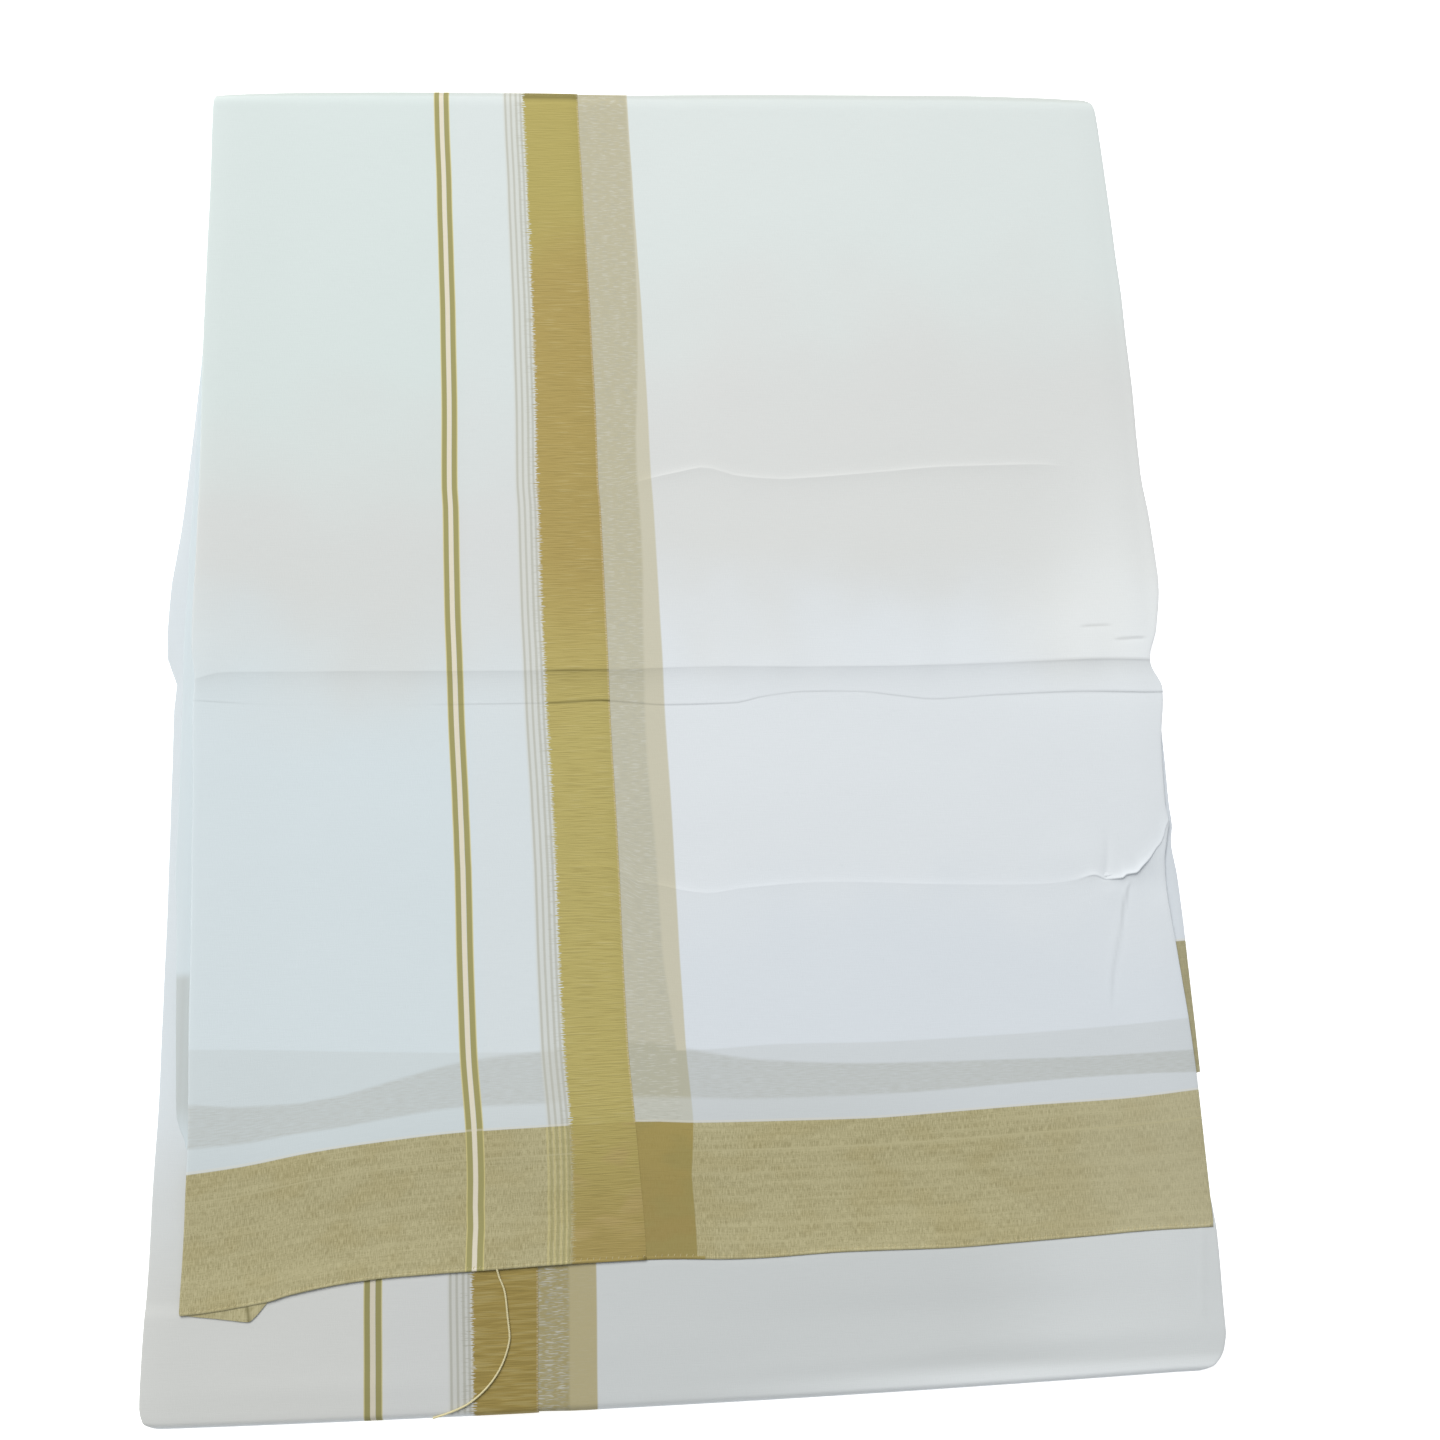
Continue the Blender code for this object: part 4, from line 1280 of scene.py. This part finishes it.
# The rows of the front follow its hem, the top of its end band and its main creases, so that each
# of those lies along an edge of its mesh.
BAND_ROW = FRONT_HEM + END_BAND
TOP_TURN_DEEP = 6
ROW_STEP = 4.5
CLOSE_ROW_STEP = 0.75
CLOSE_ROWS_FROM = 13.4
Guide = namedtuple("Guide", "row line", defaults=(None,))
GUIDES = (
    Guide(FRONT_HEM, HEM_LINE),
    Guide(BAND_ROW, BAND_LINE),
    Guide(-140),
    Guide(-92, crease_line(WRINKLE)),
    Guide(-58),
    Guide(-24),
    Guide(-8.5, crease_line(LOW_CREASE)),
    Guide(6, crease_line(HIGH_CREASE)),
    Guide(CLOSE_ROWS_FROM),
    Guide(25),
    Guide(84),
    Guide(99, crease_line(RIDGE)),
    Guide(120),
)
# Past the hem and the band, the guides that have a line are the creases.
CREASE_ROWS = [guide.row for guide in GUIDES[2:] if guide.line]
CREASE_CLEAR = 7.2
NEAR_CREASE = (0, 0.2, 0.45, 0.8, 1.3, 2, 3, 4.4, 6.2)
LAST_ROW = HALF_LENGTH - TOP_TURN_DEEP


def guided(row, x):
    """Where a row of the front lies at x, between the guides below and above it."""
    for below, above in zip(GUIDES, GUIDES[1:]):
        if row <= above.row:
            share = (row - below.row) / (above.row - below.row)
            low_shift = below.line(x) - below.row if below.line else 0
            high_shift = above.line(x) - above.row if above.line else 0
            return row + low_shift * (1 - share) + high_shift * share
    return row


even_rows = [FRONT_HEM + 0.6, FRONT_HEM + 1.6]
for below, above in zip(GUIDES, GUIDES[1:]):
    row_step = CLOSE_ROW_STEP if below.row == CLOSE_ROWS_FROM else ROW_STEP
    even_rows += spread(max(below.row, FRONT_HEM + 4), above.row, row_step)
even_rows += spread(GUIDES[-1].row, LAST_ROW - 5, 6) + spread(LAST_ROW - 5, LAST_ROW, 2.5)
clear_rows = [
    row for row in even_rows if min(abs(row - mark) for mark in CREASE_ROWS) > CREASE_CLEAR
]
close_rows = [
    mark + side * step for mark in CREASE_ROWS for side in (-1, 1) for step in NEAR_CREASE
]
FRONT_ROWS = sorted(set(clear_rows + close_rows))
FRONT_FLAP_STEPS = joined(
    spread(0, 0.03, 0.01), spread(0.03, 0.95, 0.034), spread(0.95, 1, 0.012)
)
UNDER_FLAP_STEPS = spread(0, 1, 0.12)
FREE_STEPS = joined(
    spread(0, 0.82, 0.0225), spread(0.82, 0.935, 0.0036), spread(0.935, 1, 0.007)
)
FRONT_UNDER_STEPS = joined(spread(0, 0.04, 0.01), spread(0.04, 1, 0.08))
PIECE_GAP = 0.3
PIECE_WALL = 1
front_face_top = second_top + PIECE_GAP + PIECE_WALL
FLAP_RISE = 1.6
HEM_FLAP_RISE = 0.5
FLAP_RISE_RUN = 45
FRONT_TUCK = 5
TOP_TURN = 0.07
NEAR_HEM = -225
INSET_RUN = 12
UNDER_HEM_INSET = 1.8
UNDER_PLY_INSET = 4.5
# How much wider the gold border is than its weave says, at each y.
BAND_WIDENS = track(
    (-250, 3.6), (-238, 3.1), (-230, 2.3), (-222, 1.9), (-214, 1.1), (-205, 0.5), (-190, 0),
    (-150, 0.3), (-90, 0.6), (-50, 0.8), (0, 1.5), (40, 2), (100, 1.5), (150, 0.9), (190, 0.5),
    (250, 0),
)


def front_surface(x, y):
    """The height of the top of the front's face at a point, and how much crushed yarns and painted
    crease shade darken it.
    """
    step = (HEM_STEP + HEM_SETTLE(x)) * ease((SECOND_EDGE(x) - STEP_START - y) / STEP_RUN)
    height, mark = creased(front_lines, x, y)
    height += swelling(FRONT_SWELLS, x, y) + ripple(x, y, 21, 0.14)
    height *= 1 - ease((y - LAST_ROW + 10) / 10)
    return front_face_top - sag(x) - side_drop(x) - step + height, mark


def flap_rise(x, y, left):
    """How far the flap stands over the face: more near the left fold, and less near the hem."""
    most = HEM_FLAP_RISE + (FLAP_RISE - HEM_FLAP_RISE) * ease((y - NEAR_HEM) / 60)
    return PLY_STEP + (most - PLY_STEP) * ease((left + FLAP_RISE_RUN - x) / FLAP_RISE_RUN)


def front_length_grid():
    grid = []
    rows = [(y, 0) for y in FRONT_ROWS] + [(LAST_ROW, turn) for turn in NOSE_TURNS[1:]]
    for y, turn in rows:
        edge_y = guided(y, 0) + FULL_REACH * math.sin(math.radians(min(turn, 90)))
        left = edge_tracks["front_left"](edge_y) + CLOTH_WALL / 2 + wander(edge_y, 11, 0.35)
        right_y = guided(y, 220) + edge_y - guided(y, 0)
        right = edge_tracks["front_right"](right_y) - CLOTH_WALL / 2 + wander(right_y, 13, 0.35)
        selvage = front_selvage(edge_y) + wander(edge_y, 15, 0.35)
        ribbed = RIBBED_WIDTH(edge_y)
        strip_end = STRIP_REACH(edge_y)
        marks = {}

        def face_places(start, finish):
            cream = (ribbed + strip_end) / 2
            strip = (0, ribbed / 2, ribbed, cream, strip_end, strip_end + 3)
            under_flap = even_places(UNDER_FLAP_STEPS)(start, selvage - 3)
            over_strip = [selvage + far for far in strip]
            return under_flap + over_strip[:-1] + even_places(FREE_STEPS)(over_strip[-1], finish)

        section = Section(
            left, right, selvage, FRONT_FLAP_STEPS, face_places, FRONT_UNDER_STEPS, FRONT_TUCK
        )

        def face_z(x):
            top, marks[x] = front_surface(x, guided(y, x))
            return top - CLOTH_WALL / 2

        def flap_z(x):
            return face_z(x) + flap_rise(x, y, left) - selvage_press(selvage - x)

        def under_z(x):
            return face_z(x) - PLY_STEP

        row = []
        for part, x, z in fold_across(section, face_z, flap_z, under_z):
            place_y = guided(y, x)
            near_hem = ease((NEAR_HEM - y) / 20)
            if part in ("face", "under"):
                place_y += UNDER_HEM_INSET * ease((selvage - x) / INSET_RUN) * near_hem
            if part in ("turn", "under"):
                place_y += UNDER_PLY_INSET * min((face_z(x) - z) / PLY_STEP, 1) * near_hem
            wave_foot = SECOND_EDGE(x) + WAVE_NARROWS(x)
            wave = (place_y - wave_foot) / (WAVE_TOP(x) - wave_foot)
            tuck = place_y - TUCK_LINE(x)
            if turn:
                deep = top_of_plies(x, selvage, face_z, flap_z) - z
                out, z = round_end(z, deep, TOP_REACH(x), TOP_NOSE_FOOT, turn)
                place_y = y + out
                # The top fold's rim is marked 2, for painted shade along it.
                marks[x] = 2 * ease((turn - 10) / 44)
            painted_highlight = 0 if turn else swelling(HIGHLIGHT_PATCHES, x, place_y)
            upward = y - FRONT_HEM + turn * TOP_TURN
            inward = PLAIN_FROM + x
            if part in ("flap", "fold"):
                inward = selvage - x
                inward -= BAND_WIDENS(place_y) * min(inward / GOLD_BAND, 1)
            beyond = -PLAIN_FROM
            if part == "face":
                past = x - selvage
                beyond = past
                if past < ribbed:
                    beyond = past * RIBBED_END / ribbed
                elif past < strip_end:
                    narrowed = (STRIP_END - RIBBED_END) / (strip_end - ribbed)
                    beyond = RIBBED_END + (past - ribbed) * narrowed
                else:
                    beyond = past + STRIP_END - strip_end
            crease = marks.get(x, 0) - painted_highlight
            row.append(Spot(x, place_y, z, inward, upward, beyond, wave, crease, tuck))
        grid.append(row)
    return grid


front_cloth = dhoti_cloth("front_cotton", FRONT_STRIPS, (FACE_TONES, FLAP_TONES))
front_length = make_cloth("front_length", front_length_grid(), CLOTH_WALL, front_cloth)
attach(front_length, "root")
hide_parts("front_face", "front_flap")

# The front hem.
# The cut end of the cloth is rolled under twice and sewn down, so that it ends in a narrow firm
# roll. One roll closes the face and one the flap. Small slanting stitches hold each.
ROLL_WIDTH = 1.5
ROLL_HEIGHT = 0.62
ROLL_SIDES = 10
ROLL_IN = 0.45
STITCH_PITCH = 2.6
STITCH_LONG = 1.5
STITCH_WIDE = 0.28
STITCH_OVER = 0.75
STITCH_SUNK = 0.08


def hem_places(start, end, above, inset):
    """Places along the hem from one x to another, at the top of the cloth plus above."""
    places = []
    for x in spread(start, end, 2.5):
        y = HEM_LINE(x) + ROLL_IN + wander(x, 51, 0.25)
        y += inset * ease((SELVAGE_AT_HEM - x) / INSET_RUN)
        places.append((x, y, front_surface(x, y)[0] + above(x)))
    return places


def rolled_hem(name, places, node, material):
    """A flattened tube along the places, with closed ends."""
    rings = []
    for x, y, z in places:
        ring = []
        for side in range(ROLL_SIDES):
            angle = 2 * math.pi * side / ROLL_SIDES
            swell = 1 + 0.12 * noise.noise(Vector((x * 0.4, side, 2)))
            across = ROLL_WIDTH / 2 * math.cos(angle) * swell
            up = ROLL_HEIGHT / 2 * math.sin(angle) * swell
            inward = SELVAGE_AT_HEM - x if x < SELVAGE_AT_HEM else PLAIN_FROM + x
            if 0 < inward < PLAIN_FROM / 2:
                inward -= BAND_WIDENS(y) * min(inward / GOLD_BAND, 1)
            beyond = x - SELVAGE_AT_HEM
            ring.append(Spot(x, y + across, z + up, inward, across + 0.8, beyond))
        rings.append(ring)
    made = cloth_mesh(name, [rings], material, True)
    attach(made, "root")
    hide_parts(node)
    return made


def hem_stitches(name, places, material):
    """A row of slanting stitches over the roll, as one joined mesh."""
    shape = bmesh.new()
    seam = track(*((x, y) for x, y, _ in places))
    tops = track(*((x, z) for x, _, z in places))
    for x in spread(places[0][0] + 1, places[-1][0] - 1, STITCH_PITCH):
        made = bmesh.ops.create_uvsphere(shape, u_segments=6, v_segments=5, radius=0.5)
        jitter = noise.noise(Vector((x * 1.7, 3, 0)))
        size = Matrix.Diagonal((STITCH_WIDE * MM, STITCH_LONG * MM, STITCH_WIDE * MM, 1))
        slant = Matrix.Rotation(math.radians(-22 + 12 * jitter), 4, "Z")
        across = seam(x) + STITCH_OVER + 0.2 * jitter
        place = Vector((x, across, tops(x) + ROLL_HEIGHT / 2 - STITCH_SUNK)) * MM
        moved = Matrix.Translation(place) @ slant @ size
        bmesh.ops.transform(shape, matrix=moved, verts=made["verts"])
    mesh = bpy.data.meshes.new(name)
    shape.to_mesh(mesh)
    shape.free()
    mesh.shade_smooth()
    mesh.materials.append(material)
    stitches = new_object(name, mesh)
    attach(stitches, "root")
    return stitches


def on_face(x):
    return -ROLL_HEIGHT / 2 + 0.12


def on_flap(x):
    return on_face(x) + flap_rise(x, FRONT_HEM, hem_start)


hem_start = edge_tracks["front_left"](FRONT_HEM)
hem_end = edge_tracks["front_right"](FRONT_HEM)
face_hem_places = hem_places(hem_start + 5, hem_end - 0.4, on_face, UNDER_HEM_INSET)
flap_hem_places = hem_places(hem_start + 0.4, SELVAGE_AT_HEM, on_flap, 0)
face_hem = rolled_hem("face_hem_roll", face_hem_places, "face_hem", front_cloth)
flap_hem = rolled_hem("flap_hem_roll", flap_hem_places, "flap_hem", front_cloth)
stitch_yarn, stitch_tree, stitch_shader = new_material("stitch_yarn")
stitch_place = new_node(stitch_tree, "TexCoord", {}).outputs["Object"]
stitch_spots = new_node(stitch_tree, "TexNoise", {"Vector": stitch_place, "Scale": 700})
stitch_colour = blend(stitch_tree, stitch_spots.outputs["Fac"], GOLD_DARK, THREAD_PALE)
set_inputs(stitch_shader, {"Base Color": stitch_colour, "Roughness": 0.7})
face_places = [place for place in face_hem_places if place[0] > SELVAGE_AT_HEM + 1]
face_stitches = hem_stitches("face_hem_stitches", face_places, stitch_yarn)
flap_stitches = hem_stitches("flap_hem_stitches", flap_hem_places, stitch_yarn)

# The turned corner.
# The corner of the ply below the flap, which has slipped out past the left end of the hem and is
# folded back on itself, so that its underside shows as a narrow pointed piece.
CORNER_TOP = -252
CORNER_FOLD = -182.4
CORNER_SLANT = 1.7
# The corner's lower edge, y at each x, and its height, z at each x.
CORNER_LOW = track(
    (-208.3, -258.6), (-203.5, -259.4), (-196, -260.4), (-188, -261.6), (-181, -262.5),
    (-178.6, -260.9), (-174.2, -256), (-172.9, -254.6),
)
CORNER_HIGH = track((-208.3, 8.08), (-184, 8.06), (-181, 8.1), (-172.9, 8))
corner_places = joined(
    spread(-208.3, -183, 2.6), spread(-183, -178.2, 0.55), spread(-178.2, -172.9, 1.2)
)
corner_grid = []
for share in spread(0, 1, 0.125):
    row = []
    for x in corner_places:
        y = CORNER_TOP + (CORNER_LOW(x) - CORNER_TOP) * share
        puff = 0.12 * math.sin(math.pi * share)
        # The corner's fold line is marked in the crease attribute, darkened by crushed yarns and
        # painted shade.
        fold = math.exp(-(((x - CORNER_FOLD - CORNER_SLANT * share) / 0.7) ** 2))
        z = CORNER_HIGH(x) + puff
        row.append(Spot(x, y, z, PLAIN_FROM + x, 12 + share * 4, crease=fold))
    corner_grid.append(row)
turned_corner = make_cloth("turned_corner_cloth", corner_grid, CLOTH_WALL, front_cloth)
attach(turned_corner, "root")
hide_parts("turned_corner")
